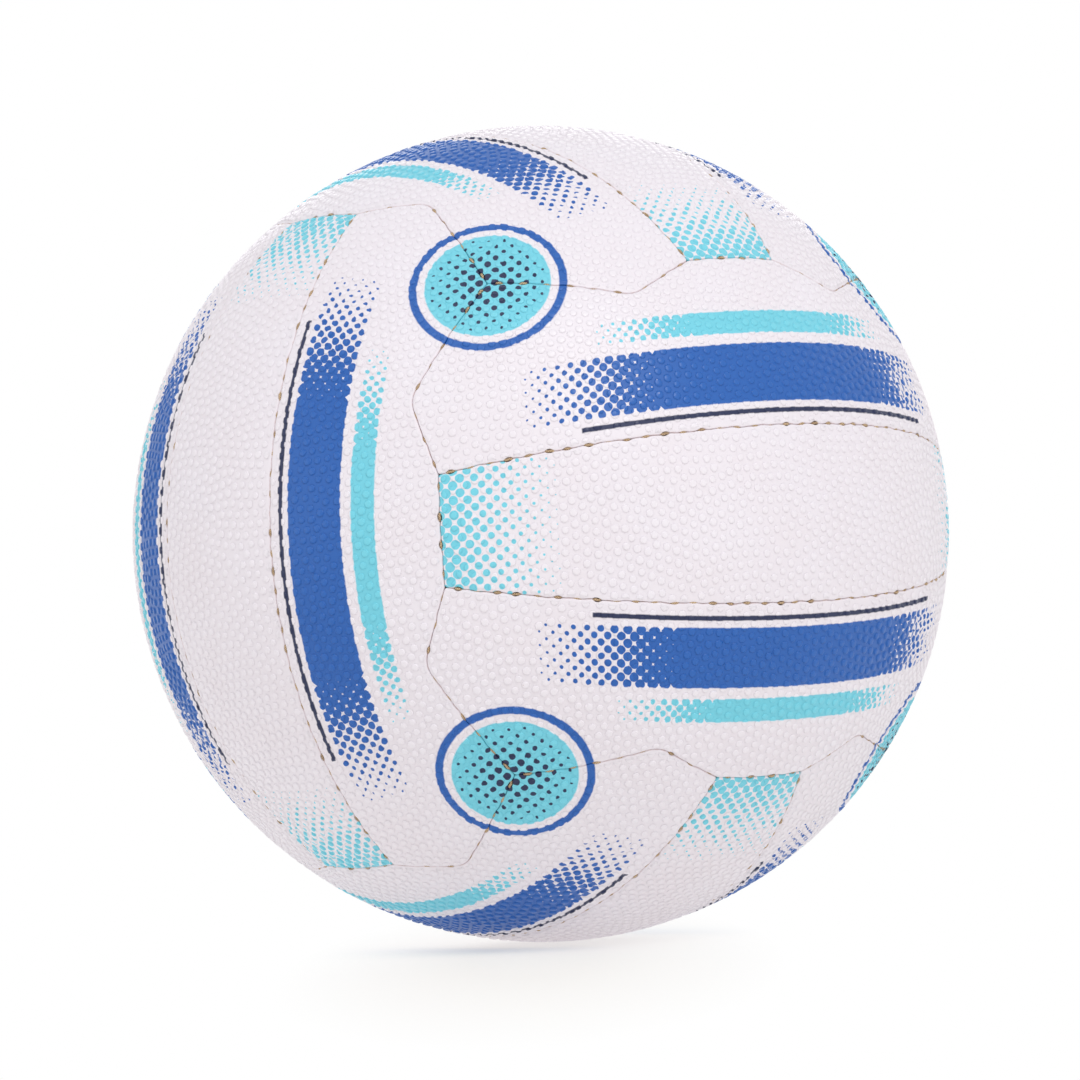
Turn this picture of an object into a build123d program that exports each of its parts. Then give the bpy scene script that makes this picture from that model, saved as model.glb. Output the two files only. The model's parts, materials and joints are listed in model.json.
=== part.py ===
from build123d import *

import os
from math import acos, cos, pi, sin, sqrt, tan

# Driving dimensions, in millimetres. Lengths on the ball are measured over its surface.
ball_circumference = 650.0
# A group of three strips ends in two long tongues with a shorter strip end between them.
strip_end_along = 93.7
strip_end_across = 13.6
tongue_tip_along = 101.2
tongue_tip_across = 32.5
tongue_tip_radius = 6.5
strip_corner_radius = 1.6
# Cover strip: a rubber sheet with a rim turned in towards the centre along every seam.
cover_thickness = 1.4
rim_thickness = 1.2
rim_edge_round = 1.0
seam_gap = 0.3
# Layers under the cover.
glue_line = 0.05
lining_thickness = 1.6
patch_thickness = 0.5
patch_radius = 15.0
bladder_thickness = 0.8
bladder_clearance = 0.25
# Sewing thread and its holes in the rims.
thread_diameter = 0.8
thread_bend_radius = 0.6
stitch_hole_clearance = 0.15
rail_clearance = 0.1
stitch_margin = 3.0
tongue_stitch_pairs = 3
flank_stitch_pairs = 1
strip_end_stitch_pairs = 2
strip_stitches = 38
# Valve: a boot bonded inside the bladder and a soft core with the needle hole.
nipple_radius = 3.3
nipple_clearance = 0.3
nipple_recess = 0.2
boot_flange_radius = 12.0
boot_flange_thickness = 1.0
boot_tube_radius = 5.5
boot_tube_length = 20.0
boot_floor = 1.5
boot_air_hole_radius = 1.0
core_radius = 2.2
core_recess = 0.3
core_clearance = 0.05
core_collar_radius = 3.4
core_collar_height = 2.5
core_collar_rise = 6.0
needle_hole_radius = 1.05
needle_hole_depth = 15.0
needle_funnel_depth = 0.6

# Radii of the layers, from the outside in.
ball_radius = ball_circumference / (2 * pi)
cover_inner_radius = ball_radius - cover_thickness
lining_outer_radius = cover_inner_radius - glue_line
lining_inner_radius = lining_outer_radius - lining_thickness
patch_outer_radius = lining_inner_radius - glue_line
patch_inner_radius = patch_outer_radius - patch_thickness
bladder_outer_radius = patch_inner_radius - glue_line
bladder_inner_radius = bladder_outer_radius - bladder_thickness
rim_inner_radius = bladder_outer_radius + bladder_clearance
stitch_radius = (cover_inner_radius + rim_inner_radius) / 2
stitch_hole_radius = thread_diameter / 2 + stitch_hole_clearance

valve_hole_radius = nipple_radius + nipple_clearance
valve_face = "back"

# Distances from the middle of a seam, square to it.
cover_inset = seam_gap / 2
rim_inset = cover_inset + rim_thickness
rail_inset = rim_inset + rail_clearance + thread_diameter / 2
lining_inset = rail_inset + thread_diameter / 2 + rail_clearance

# Turns a sphere so that its poles and its seam line lie away from a face's outside.
sphere_seam_inwards = (0, 90, 0)
on_base = (Align.CENTER, Align.CENTER, Align.MIN)

# The six faces of the ball: local x runs along the strips, local z points out of the ball.
faces = {
    "front": Plane((0, 0, 0), x_dir=(1, 0, 0), z_dir=(0, -1, 0)),
    "back": Plane((0, 0, 0), x_dir=(-1, 0, 0), z_dir=(0, 1, 0)),
    "left": Plane((0, 0, 0), x_dir=(0, 0, 1), z_dir=(-1, 0, 0)),
    "right": Plane((0, 0, 0), x_dir=(0, 0, 1), z_dir=(1, 0, 0)),
    "top": Plane((0, 0, 0), x_dir=(0, 1, 0), z_dir=(0, 0, 1)),
    "bottom": Plane((0, 0, 0), x_dir=(0, 1, 0), z_dir=(0, 0, -1)),
}
# The outer strips on the +y and -y sides of each face, in its own frame.
outer_sides = {
    "front": ("upper", "lower"),
    "back": ("upper", "lower"),
    "left": ("back", "front"),
    "right": ("front", "back"),
    "top": ("left", "right"),
    "bottom": ("right", "left"),
}
# The faces that the strips of each face end at, towards its +x and -x.
end_neighbours = {
    "front": ("right", "left"),
    "back": ("left", "right"),
    "left": ("top", "bottom"),
    "right": ("top", "bottom"),
    "top": ("back", "front"),
    "bottom": ("back", "front"),
}


def half_turn(plane):
    """The same face plane turned half round about its own z."""
    return Plane(plane.origin, x_dir=-plane.x_dir, z_dir=plane.z_dir)


def surface_direction(along, across):
    """Unit vector to the point that lies these lengths along and across a face from its middle."""
    turn_along = along / ball_radius
    turn_across = across / ball_radius
    return Vector(sin(turn_along) * cos(turn_across), sin(turn_across), cos(turn_along) * cos(turn_across))


def flipped(direction, x_sign, y_sign):
    """A direction mirrored in its face's own frame."""
    return Vector(direction.X * x_sign, direction.Y * y_sign, direction.Z)


def next_door(direction):
    """A direction at the far end of the top face's frame, seen in the front face's frame."""
    return faces["front"].to_local_coords(faces["top"].from_local_coords(direction))


# Corners of the seams in a face's frame: one end of a group of strips from corner to corner, and the
# long side of an outer strip, which is the end of the group next door.
corner = Vector(1, 1, 1).normalized()
tip = surface_direction(tongue_tip_along, tongue_tip_across)
junction = surface_direction(strip_end_along, strip_end_across)
group_end = [
    corner,
    tip,
    junction,
    flipped(junction, 1, -1),
    flipped(tip, 1, -1),
    flipped(corner, 1, -1),
]
long_side = [next_door(flipped(direction, -1, -1)) for direction in group_end]
strip_seam = [flipped(junction, -1, 1), junction]
outer_outline = [*strip_seam, tip, *long_side, flipped(tip, -1, 1)]
middle_outline = [flipped(junction, -1, -1), flipped(junction, 1, -1), *reversed(strip_seam)]
tongue_tips = [tip, flipped(tip, -1, 1), flipped(tip, 1, -1)]
tongue_notches = [long_side[1], long_side[4]]

# Stitches along each run of those outlines, in the same order. An odd count along a flank brings the
# thread to the inside of the next bend, and an even count elsewhere leaves it there.
tongue_stitches = 2 * tongue_stitch_pairs
flank_stitches = 2 * flank_stitch_pairs + 1
strip_end_stitches = 2 * strip_end_stitch_pairs
group_end_stitches = [tongue_stitches, flank_stitches, strip_end_stitches, flank_stitches, tongue_stitches]
outer_stitches = [
    strip_stitches,
    flank_stitches,
    tongue_stitches,
    *group_end_stitches,
    tongue_stitches,
    flank_stitches,
]
middle_stitches = [strip_stitches, strip_end_stitches, strip_stitches, strip_end_stitches]


def seam_normal(start, end):
    """Unit normal of the plane through the ball's centre that holds a seam, to the left of its run."""
    return start.cross(end).normalized()


def inset_edge(before, here, after, inset):
    """Foot of the radial edge at an outline's corner, with both its seams drawn in by an inset."""
    first = seam_normal(before, here)
    second = seam_normal(here, after)
    return (first + second) * (inset / (1 + first.dot(second)))


# The rounded tips and their notches hold no stitches.
tip_turn = acos(seam_normal(corner, tip).dot(seam_normal(tip, junction)))
tip_margin = (tongue_tip_radius + rim_inset) * tan(tip_turn / 2) + stitch_hole_radius


def stitch_free_length(direction):
    """Length of seam without stitches next to one of its corners."""
    if direction in tongue_tips + tongue_notches:
        return tip_margin
    return stitch_margin


def stitches(start, end, count):
    """Directions of the stitches, evenly spaced along one run of a seam."""
    side = seam_normal(start, end).cross(start)
    first = stitch_free_length(start)
    last = acos(start.dot(end)) * ball_radius - stitch_free_length(end)
    turns = [(first + (last - first) * index / (count - 1)) / ball_radius for index in range(count)]
    return [start * cos(turn) + side * sin(turn) for turn in turns]


def strip_wedge(outline, inset, corner_radius):
    """Solid cone from near the centre out past the ball, through an outline drawn in by an inset."""
    count = len(outline)
    base_height = min(direction.Z for direction in outline) * bladder_inner_radius
    rings = []
    for height in (base_height, ball_radius + cover_thickness):
        ring = []
        for index, direction in enumerate(outline):
            foot = inset_edge(outline[index - 1], direction, outline[(index + 1) % count], inset)
            ring.append(foot + direction * ((height - foot.Z) / direction.Z))
        rings.append(ring)
    base, top = rings
    walls = [Face(Wire.make_polygon(ring)) for ring in rings]
    for index in range(count):
        walls.append(Face(Wire.make_polygon([base[index - 1], base[index], top[index], top[index - 1]])))
    with BuildPart() as wedge:
        add(Solid(Shell(walls)))
        for direction, point in zip(outline, top):
            if direction in tongue_tips:
                radius = tongue_tip_radius - inset
            elif direction in tongue_notches:
                radius = tongue_tip_radius + inset
            else:
                radius = corner_radius
            if radius > 0:
                radial_edge = wedge.edges().sort_by_distance(point - direction * cover_thickness)[0]
                fillet(radial_edge, radius)
    return wedge.part


def ball_layer(solid, outer_radius, inner_radius):
    """The part of a solid between two spheres about the ball's centre."""
    with BuildPart() as layer:
        add(solid)
        Sphere(outer_radius, rotation=sphere_seam_inwards, mode=Mode.INTERSECT)
        Sphere(inner_radius, rotation=sphere_seam_inwards, mode=Mode.SUBTRACT)
    return layer.part


def cover_strip(outline, counts):
    """Cover strip in its face's frame: a curved sheet with a turned-in rim, holed for the thread."""
    body = ball_layer(strip_wedge(outline, cover_inset, strip_corner_radius), ball_radius, rim_inner_radius)
    hollow = ball_layer(strip_wedge(outline, rim_inset, 0), cover_inner_radius, bladder_inner_radius)
    holes = []
    for index, count in enumerate(counts):
        start = outline[index]
        end = outline[(index + 1) % len(outline)]
        for direction in stitches(start, end, count):
            holes.append(Plane(direction * stitch_radius, z_dir=seam_normal(start, end)))
    with BuildPart() as strip:
        add(body)
        outside = strip.faces().filter_by(GeomType.SPHERE).sort_by(SortBy.AREA)[-1]
        fillet(outside.outer_wire().edges(), rim_edge_round)
        add(hollow, mode=Mode.SUBTRACT)
        with Locations(*holes):
            Cylinder(stitch_hole_radius, rim_inset + rail_clearance, align=on_base, mode=Mode.SUBTRACT)
    return strip.part


def strip_lining(outline):
    """Cloth lining of one strip, which leaves a channel for the thread inside the rim."""
    return ball_layer(strip_wedge(outline, lining_inset, 0), lining_outer_radius, lining_inner_radius)


def seam_thread(path, counts):
    """Running stitch along a seam: it crosses both rims at each stitch and runs on along their insides."""
    points = []
    radii = []
    side = -1
    for index, count in enumerate(counts):
        start = path[index]
        end = path[index + 1]
        across = seam_normal(start, end) * rail_inset
        for direction in stitches(start, end, count):
            points.append(direction * stitch_radius + across * side)
            points.append(direction * stitch_radius - across * side)
            radii += [thread_bend_radius, thread_bend_radius]
            side = -side
        if end != path[-1]:
            foot = inset_edge(start, end, path[index + 2], rail_inset * side)
            points.append(foot + end * sqrt(stitch_radius**2 - foot.dot(foot)))
            radii.append(tongue_tip_radius - rail_inset if end in tongue_tips else thread_bend_radius)
    with BuildPart() as thread:
        with BuildLine() as route:
            FilletPolyline(*points, radius=radii[1:-1])
        with BuildSketch(Plane(route.line @ 0, z_dir=route.line % 0)):
            Circle(thread_diameter / 2)
        sweep()
    section = pi * (thread_diameter / 2) ** 2
    length = sum(edge.length for edge in route.edges())
    print(f"thread of {length:.1f} mm: volume over section times length {thread.part.volume / section / length:.4f}")
    return thread.part


def with_valve_hole(solid):
    """A layer in its face's frame with the round hole that the valve's nipple passes through."""
    with BuildPart() as holed:
        add(solid)
        Cylinder(valve_hole_radius, ball_radius, align=on_base, mode=Mode.SUBTRACT)
    return holed.part


os.makedirs("parts", exist_ok=True)


def write_node(label, solid, *planes):
    """Place copies of a solid on face planes and write them as one named node."""
    with BuildPart(*planes) as node:
        add(solid)
    node.part.label = label
    export_step(node.part, f"parts/{label}.step")


# Cover strips and their linings: two outer strips and a middle one on each face.
outer_strip = cover_strip(outer_outline, outer_stitches)
middle_strip = cover_strip(middle_outline, middle_stitches)
outer_lining = strip_lining(outer_outline)
middle_lining = strip_lining(middle_outline)
for name, plane in faces.items():
    for side, strip_plane in zip(outer_sides[name], (plane, half_turn(plane))):
        write_node(f"{name}_{side}_panel", outer_strip, strip_plane)
        write_node(f"{name}_{side}_lining", outer_lining, strip_plane)
    if name == valve_face:
        write_node(f"{name}_middle_panel", with_valve_hole(middle_strip), plane)
        write_node(f"{name}_middle_lining", with_valve_hole(middle_lining), plane)
    else:
        write_node(f"{name}_middle_panel", middle_strip, plane)
        write_node(f"{name}_middle_lining", middle_lining, plane)

# Threads: one along the two seams inside each group, and one across each end of a group.
strip_thread = seam_thread(strip_seam, [strip_stitches])
end_thread = seam_thread(group_end, group_end_stitches)
for name, plane in faces.items():
    write_node(f"{name}_seam_thread", strip_thread, plane, half_turn(plane))
    for neighbour, end_plane in zip(end_neighbours[name], (plane, half_turn(plane))):
        write_node(f"{name}_{neighbour}_seam_thread", end_thread, end_plane)

# Bladder: a thin hollow ball with a hole for the valve.
with BuildPart(faces[valve_face]) as bladder:
    Sphere(bladder_outer_radius, rotation=sphere_seam_inwards)
    Sphere(bladder_inner_radius, rotation=sphere_seam_inwards, mode=Mode.SUBTRACT)
    Cylinder(valve_hole_radius, ball_radius, align=on_base, mode=Mode.SUBTRACT)
bladder.part.label = "bladder"
export_step(bladder.part, "parts/bladder.step")

# Patch: a cloth ring between the lining and the bladder, round the valve.
with BuildPart() as patch_disc:
    Cylinder(patch_radius, ball_radius, align=on_base)
    Cylinder(valve_hole_radius, ball_radius, align=on_base, mode=Mode.SUBTRACT)
valve_patch = ball_layer(patch_disc.part, patch_outer_radius, patch_inner_radius)
write_node("valve_patch", valve_patch, faces[valve_face])

# Boot: a flange bonded under the bladder, a nipple out to the cover and a tube inwards.
boot_top = bladder_inner_radius - glue_line
boot_bottom = boot_top - boot_tube_length
boot_bore_bottom = boot_bottom + boot_floor
nipple_top = ball_radius - nipple_recess
core_top = nipple_top - core_recess
core_bottom = boot_bore_bottom + core_clearance
collar_bottom = core_bottom + core_collar_rise
with BuildPart() as boot_disc:
    Cylinder(boot_flange_radius, ball_radius, align=on_base)
boot_flange = ball_layer(boot_disc.part, boot_top, boot_top - boot_flange_thickness)
with BuildPart(faces[valve_face]) as valve_boot:
    add(boot_flange)
    with Locations((0, 0, boot_top - boot_flange_thickness / 2)):
        Cylinder(nipple_radius, nipple_top - boot_top + boot_flange_thickness / 2, align=on_base)
    with Locations((0, 0, boot_bottom)):
        Cylinder(boot_tube_radius, boot_tube_length - boot_flange_thickness / 2, align=on_base)
        Cylinder(boot_air_hole_radius, boot_floor, align=on_base, mode=Mode.SUBTRACT)
    with Locations((0, 0, boot_bore_bottom)):
        Cylinder(core_radius + core_clearance, ball_radius, align=on_base, mode=Mode.SUBTRACT)
    with Locations((0, 0, collar_bottom - core_clearance)):
        Cylinder(
            core_collar_radius + core_clearance,
            core_collar_height + 2 * core_clearance,
            align=on_base,
            mode=Mode.SUBTRACT,
        )
valve_boot.part.label = "valve_boot"
export_step(valve_boot.part, "parts/valve_boot.step")

# Core: a soft plug held in the boot by its collar, with a funnel into the blind needle hole.
with BuildPart(faces[valve_face]) as valve_core:
    with Locations((0, 0, core_bottom)):
        Cylinder(core_radius, core_top - core_bottom, align=on_base)
    with Locations((0, 0, collar_bottom)):
        Cylinder(core_collar_radius, core_collar_height, align=on_base)
    with Locations((0, 0, core_top - needle_hole_depth)):
        Cylinder(needle_hole_radius, needle_hole_depth, align=on_base, mode=Mode.SUBTRACT)
    outer_face = valve_core.faces().sort_by(Axis((0, 0, 0), faces[valve_face].z_dir))[-1]
    chamfer(outer_face.inner_wires()[0].edges(), needle_funnel_depth)
valve_core.part.label = "valve_core"
export_step(valve_core.part, "parts/valve_core.step")
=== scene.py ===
"""Looks of an 18-strip netball: pebbled rubber cover, sewn seams, valve and the layers inside.

Lengths are metres. The cover strips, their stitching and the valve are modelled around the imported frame,
and the linings, the patch and the bladder keep their own solids and get a finish.
"""

import json
import logging
import math
from dataclasses import dataclass, replace
from enum import Enum

import bpy
import numpy as np
from bpy.types import Material, Mesh, Node, NodeSocket, NodeTree, Object
from mathutils import Matrix, Vector
from mathutils.geometry import delaunay_2d_cdt

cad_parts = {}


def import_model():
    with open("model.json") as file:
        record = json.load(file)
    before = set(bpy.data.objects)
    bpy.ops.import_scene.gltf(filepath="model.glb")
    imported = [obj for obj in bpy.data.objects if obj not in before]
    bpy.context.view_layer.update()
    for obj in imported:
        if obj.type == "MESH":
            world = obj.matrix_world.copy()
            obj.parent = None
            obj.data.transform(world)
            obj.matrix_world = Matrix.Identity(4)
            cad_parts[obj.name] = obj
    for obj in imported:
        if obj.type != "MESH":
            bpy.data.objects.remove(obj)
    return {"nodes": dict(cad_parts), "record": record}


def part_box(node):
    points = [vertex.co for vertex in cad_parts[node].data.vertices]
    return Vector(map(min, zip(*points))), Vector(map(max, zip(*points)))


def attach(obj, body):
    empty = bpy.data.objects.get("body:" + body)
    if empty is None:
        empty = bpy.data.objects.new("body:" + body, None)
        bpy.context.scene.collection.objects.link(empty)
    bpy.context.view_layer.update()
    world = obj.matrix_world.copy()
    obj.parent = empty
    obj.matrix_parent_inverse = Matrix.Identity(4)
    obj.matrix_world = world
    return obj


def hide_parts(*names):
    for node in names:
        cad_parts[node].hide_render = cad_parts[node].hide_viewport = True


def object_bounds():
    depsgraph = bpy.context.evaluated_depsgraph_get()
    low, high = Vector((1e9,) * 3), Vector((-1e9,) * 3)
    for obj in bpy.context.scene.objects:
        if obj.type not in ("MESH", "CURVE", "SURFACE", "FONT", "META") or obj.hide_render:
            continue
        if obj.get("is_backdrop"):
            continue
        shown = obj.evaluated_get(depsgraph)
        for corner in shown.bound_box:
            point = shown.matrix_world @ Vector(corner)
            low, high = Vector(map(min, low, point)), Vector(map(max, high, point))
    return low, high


MM = 0.001
BODY = "root"
MERGE_DISTANCE = 1e-6
LEAST_LENGTH = 1e-9
LEAST_RISE = 1e-12
INSIDE_TRIANGLES = 1
PLACE_ATTRIBUTE = "strip_place"
SKIN_ATTRIBUTE = "skin"
LAY_ATTRIBUTE = "lay"
NUMBER_SUMS = ("DISTANCE", "DOT_PRODUCT", "LENGTH")
# Places of the colour sockets on a mix node.
MIX_FIRST = 6
MIX_SECOND = 7
MIX_RESULT = 2
FROM_MIDDLE = -1.0
Colour = tuple[float, float, float, float]
Span = tuple[float, float]
Profile = list[tuple[float, float]]
WHITE: Colour = (1.0, 1.0, 1.0, 1.0)
log = logging.getLogger("netball")


class StripKind(Enum):
    """The two shapes of cover strip in a group of three."""

    OUTER = "outer"
    MIDDLE = "middle"


@dataclass(frozen=True)
class BallFace:
    """One of the six faces of the ball, which a group of three strips covers.

    The face's own frame has x along its strips and z out of the ball.
    """

    name: str
    along: tuple[float, float, float]
    out: tuple[float, float, float]
    outer_sides: tuple[str, str]
    end_neighbours: tuple[str, str]

    def turn(self, half_turn: bool = False) -> Matrix:
        """Give the rotation from the face's own frame to the ball's.

        Args:
            half_turn: Turn the face half round about its own z first.

        Returns:
            A 4x4 rotation.
        """
        z_axis = Vector(self.out)
        x_axis = -Vector(self.along) if half_turn else Vector(self.along)
        y_axis = z_axis.cross(x_axis)
        return Matrix((x_axis, y_axis, z_axis)).transposed().to_4x4()


FACES = (
    BallFace("front", (1, 0, 0), (0, -1, 0), ("upper", "lower"), ("right", "left")),
    BallFace("back", (-1, 0, 0), (0, 1, 0), ("upper", "lower"), ("left", "right")),
    BallFace("left", (0, 0, 1), (-1, 0, 0), ("back", "front"), ("top", "bottom")),
    BallFace("right", (0, 0, 1), (1, 0, 0), ("front", "back"), ("top", "bottom")),
    BallFace("top", (0, 1, 0), (0, 0, 1), ("left", "right"), ("back", "front")),
    BallFace("bottom", (0, 1, 0), (0, 0, -1), ("right", "left"), ("back", "front")),
)
VALVE_FACE = "back"


def seam_normal(start: Vector, end: Vector) -> Vector:
    """Give the unit normal of a seam's plane, to the left of its run."""
    return start.cross(end).normalized()


@dataclass(frozen=True)
class SeamRun:
    """One straight run of a seam, which the strips on both its sides and its thread share."""

    order: int
    stitches: int
    backward: bool = False

    def reverse(self) -> "SeamRun":
        """Give the same run, passed the other way."""
        return replace(self, backward=not self.backward)


@dataclass(frozen=True)
class SeamPlan:
    """Where the seams and stitches run on a face, as lengths over the ball's surface."""

    radius: float
    strip_end_along: float = 93.7 * MM
    strip_end_across: float = 13.6 * MM
    tongue_tip_along: float = 101.2 * MM
    tongue_tip_across: float = 32.5 * MM
    tongue_tip_radius: float = 6.5 * MM
    corner_radius: float = 0.8 * MM
    rim_inset: float = 1.35 * MM
    stitch_hole_radius: float = 0.55 * MM
    stitch_margin: float = 3.0 * MM
    tongue_stitches: int = 6
    flank_stitches: int = 3
    strip_end_stitches: int = 4
    strip_stitches: int = 38

    def direction(self, along: float, across: float, x_sign: int = 1, y_sign: int = 1) -> Vector:
        """Give the unit vector to a point of the face, mirrored by the signs.

        Args:
            along: Length along the strips from the face's middle.
            across: Length across them.
            x_sign: -1 mirrors the point along the strips.
            y_sign: -1 mirrors it across them.

        Returns:
            A unit vector in the face's frame.
        """
        turn_along = along / self.radius
        turn_across = across / self.radius
        flat = math.cos(turn_across)
        return Vector(
            (
                x_sign * math.sin(turn_along) * flat,
                y_sign * math.sin(turn_across),
                math.cos(turn_along) * flat,
            )
        )

    def tip(self, x_sign: int = 1, y_sign: int = 1) -> Vector:
        """Give the direction of a tongue's tip."""
        return self.direction(self.tongue_tip_along, self.tongue_tip_across, x_sign, y_sign)

    def junction(self, x_sign: int = 1, y_sign: int = 1) -> Vector:
        """Give the direction of the point where a strip seam meets the end of its group."""
        return self.direction(self.strip_end_along, self.strip_end_across, x_sign, y_sign)

    def group_end(self, x_sign: int = 1, y_sign: int = 1) -> list[Vector]:
        """Give the seam corners across one end of a group, from ball corner to ball corner.

        Args:
            x_sign: -1 for the group's other end.
            y_sign: -1 to start from that end's other ball corner.

        Returns:
            Unit vectors in the face's frame.
        """
        corner = Vector((x_sign, y_sign, 1)).normalized()
        far_corner = Vector((x_sign, -y_sign, 1)).normalized()
        return [
            corner,
            self.tip(x_sign, y_sign),
            self.junction(x_sign, y_sign),
            self.junction(x_sign, -y_sign),
            self.tip(x_sign, -y_sign),
            far_corner,
        ]

    def long_side(self) -> list[Vector]:
        """Give the corners along an outer strip's long side, which is the next group's end.

        Returns:
            Unit vectors in the face's frame.
        """
        turns = {face.name: face.turn() for face in FACES}
        to_front = turns["front"].inverted() @ turns["top"]
        return [to_front @ direction for direction in self.group_end(-1, -1)]

    def tip_margin(self) -> float:
        """Give the length of seam beside a tongue's tip that holds no stitches.

        Returns:
            Length over the ball's surface, on each side of the tip.
        """
        corner, tip, junction = self.group_end()[:3]
        turn = seam_normal(corner, tip).angle(seam_normal(tip, junction))
        return (self.tongue_tip_radius + self.rim_inset) * math.tan(turn / 2) + self.stitch_hole_radius

    def strip_run(self) -> SeamRun:
        """Give the run between an outer strip and the middle strip."""
        return SeamRun(0, self.strip_stitches)

    def end_runs(self) -> list[SeamRun]:
        """Give the runs across a group's end, from ball corner to ball corner.

        Returns:
            The five runs, in order.
        """
        tongue, flank = self.tongue_stitches, self.flank_stitches
        counts = [tongue, flank, self.strip_end_stitches, flank, tongue]
        return [SeamRun(order, count) for order, count in enumerate(counts, start=1)]


@dataclass(frozen=True)
class EdgeLoop:
    """One loop of a strip's edge: its inset from the seam, its depth and what the sewing does to it."""

    inset: float
    depth: float
    opening: float = 0.0
    stray_share: float = 1.0


@dataclass
class SeamPath:
    """A chain of seam runs on the ball, with rounded corners, hand-set stitches and a slight stray."""

    plan: SeamPlan
    corners: list[Vector]
    runs: list[SeamRun]
    point_spacing: float = 0.5 * MM
    stitch_opening_half: float = 1.1 * MM
    stitch_shift: float = 0.3 * MM
    stray_waves: tuple[float, ...] = (4.3 * MM, 7.9 * MM, 15.0 * MM)
    stray: float = 0.07 * MM
    stray_ease: float = 5.0 * MM
    least_corner_radius: float = 0.1 * MM
    same_place: float = 0.5 * MM
    least_steps: int = 3
    tight_arc_points: int = 5
    wide_arc_points: int = 18
    pull_range: Span = (-0.25, 1.25)
    seed: int = 7

    def __post_init__(self) -> None:
        """Work out each run's normal and length, where its stitches stand and how it strays."""
        self.normals: list[Vector] = []
        self.lengths: list[float] = []
        self.stitch_places: list[np.ndarray] = []
        self.stitch_pull: list[np.ndarray] = []
        self.phases: list[np.ndarray] = []
        for index, run in enumerate(self.runs):
            start = self.corners[index]
            end = self.corners[(index + 1) % len(self.corners)]
            length = start.angle(end) * self.plan.radius
            rng = np.random.default_rng((self.seed, run.order))
            shift = self.stitch_shift * rng.uniform(-1, 1, run.stitches)
            pull = np.clip(rng.uniform(*self.pull_range, run.stitches), 0, None)
            places = np.linspace(self.free_length(start), length - self.free_length(end), run.stitches)
            self.stitch_places.append(places - shift[::-1] if run.backward else places + shift)
            self.stitch_pull.append(pull[::-1] if run.backward else pull)
            self.phases.append(rng.uniform(0, math.tau, len(self.stray_waves)))
            self.normals.append(seam_normal(start, end))
            self.lengths.append(length)

    def rounding(self, direction: Vector) -> float:
        """Give the corner's radius on the seam line: wide at a tongue's tip, small elsewhere."""
        return self.plan.tongue_tip_radius if self.is_tip(direction) else self.plan.corner_radius

    def is_tip(self, direction: Vector) -> bool:
        """Tell whether a corner is a tongue's tip, or the notch that a neighbour's tip fits into.

        Args:
            direction: Unit vector to the corner.

        Returns:
            True at a tip or a notch.
        """
        near = self.same_place / self.plan.radius
        own = [self.plan.tip(x, y) for x in (1, -1) for y in (1, -1)]
        side = self.plan.long_side()
        return any((direction - tip).length < near for tip in own + [side[1], side[4]])

    def free_length(self, direction: Vector) -> float:
        """Give the length of seam beside a corner that holds no stitches."""
        return self.plan.tip_margin() if self.is_tip(direction) else self.plan.stitch_margin

    def side(self, index: int) -> Vector:
        """Give the direction that a run sets off in from its first corner."""
        return self.normals[index].cross(self.corners[index])

    def corner_point(self, index: int, inset: float) -> Vector:
        """Give the point on the sphere at a corner whose two seams are drawn in by an inset.

        Args:
            index: The corner's place in the outline.
            inset: Distance from both seams, to their left.

        Returns:
            The point in the face's frame.
        """
        before = self.normals[index - 1]
        after = self.normals[index]
        foot = (before + after) * (inset / (1 + before.dot(after)))
        return foot + self.corners[index] * math.sqrt(self.plan.radius**2 - foot.length_squared)

    def arc(self, index: int, inset: float) -> list[Vector]:
        """Give the points round a corner of the outline drawn in by an inset.

        Args:
            index: The corner's place in the outline.
            inset: Distance from the seam into the strip.

        Returns:
            Points on the sphere, in the outline's order.
        """
        before = self.normals[index - 1]
        after = self.normals[index]
        axis = self.corners[index]
        turn = before.angle(after)
        radius = self.rounding(axis)
        points = self.wide_arc_points if self.is_tip(axis) else self.tight_arc_points
        if before.cross(after).dot(axis) > 0:
            radius = max(radius - inset, self.least_corner_radius)
            centre = self.corner_point(index, inset + radius)
            spoke = -before
        else:
            centre = self.corner_point(index, -radius)
            radius += inset
            spoke = before
            turn = -turn
        ring = []
        for step in range(points):
            swing = Matrix.Rotation(turn * step / (points - 1), 3, axis)
            ring.append((centre + swing @ spoke * radius).normalized() * self.plan.radius)
        return ring

    def opening(self, index: int, place: float) -> float:
        """Give how far a stitch holds the seam open at a place on a run.

        Args:
            index: The run's place in the outline.
            place: Length along the run from its first corner.

        Returns:
            Share of the full opening, 0 where no stitch pulls and at most the pull range's end.
        """
        away = np.abs(self.stitch_places[index] - place)
        stitch = int(away.argmin())
        share = max(0.0, 1 - (float(away[stitch]) / self.stitch_opening_half) ** 2)
        return share * float(self.stitch_pull[index][stitch])

    def strayed(self, index: int, place: float) -> float:
        """Give how far the seam strays to the left of its run at a place on it.

        Args:
            index: The run's place in the outline.
            place: Length along the run from its first corner.

        Returns:
            Distance to the left, 0 beside the run's corners.
        """
        forward = self.lengths[index] - place if self.runs[index].backward else place
        waves = zip(self.stray_waves, self.phases[index])
        total = self.stray * sum(math.sin(math.tau * forward / wave + phase) for wave, phase in waves)
        first, last = self.stitch_places[index][[0, -1]]
        calm = min(max(min(place - first, last - place) / self.stray_ease, 0.0), 1.0)
        return calm * (-total if self.runs[index].backward else total)

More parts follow.
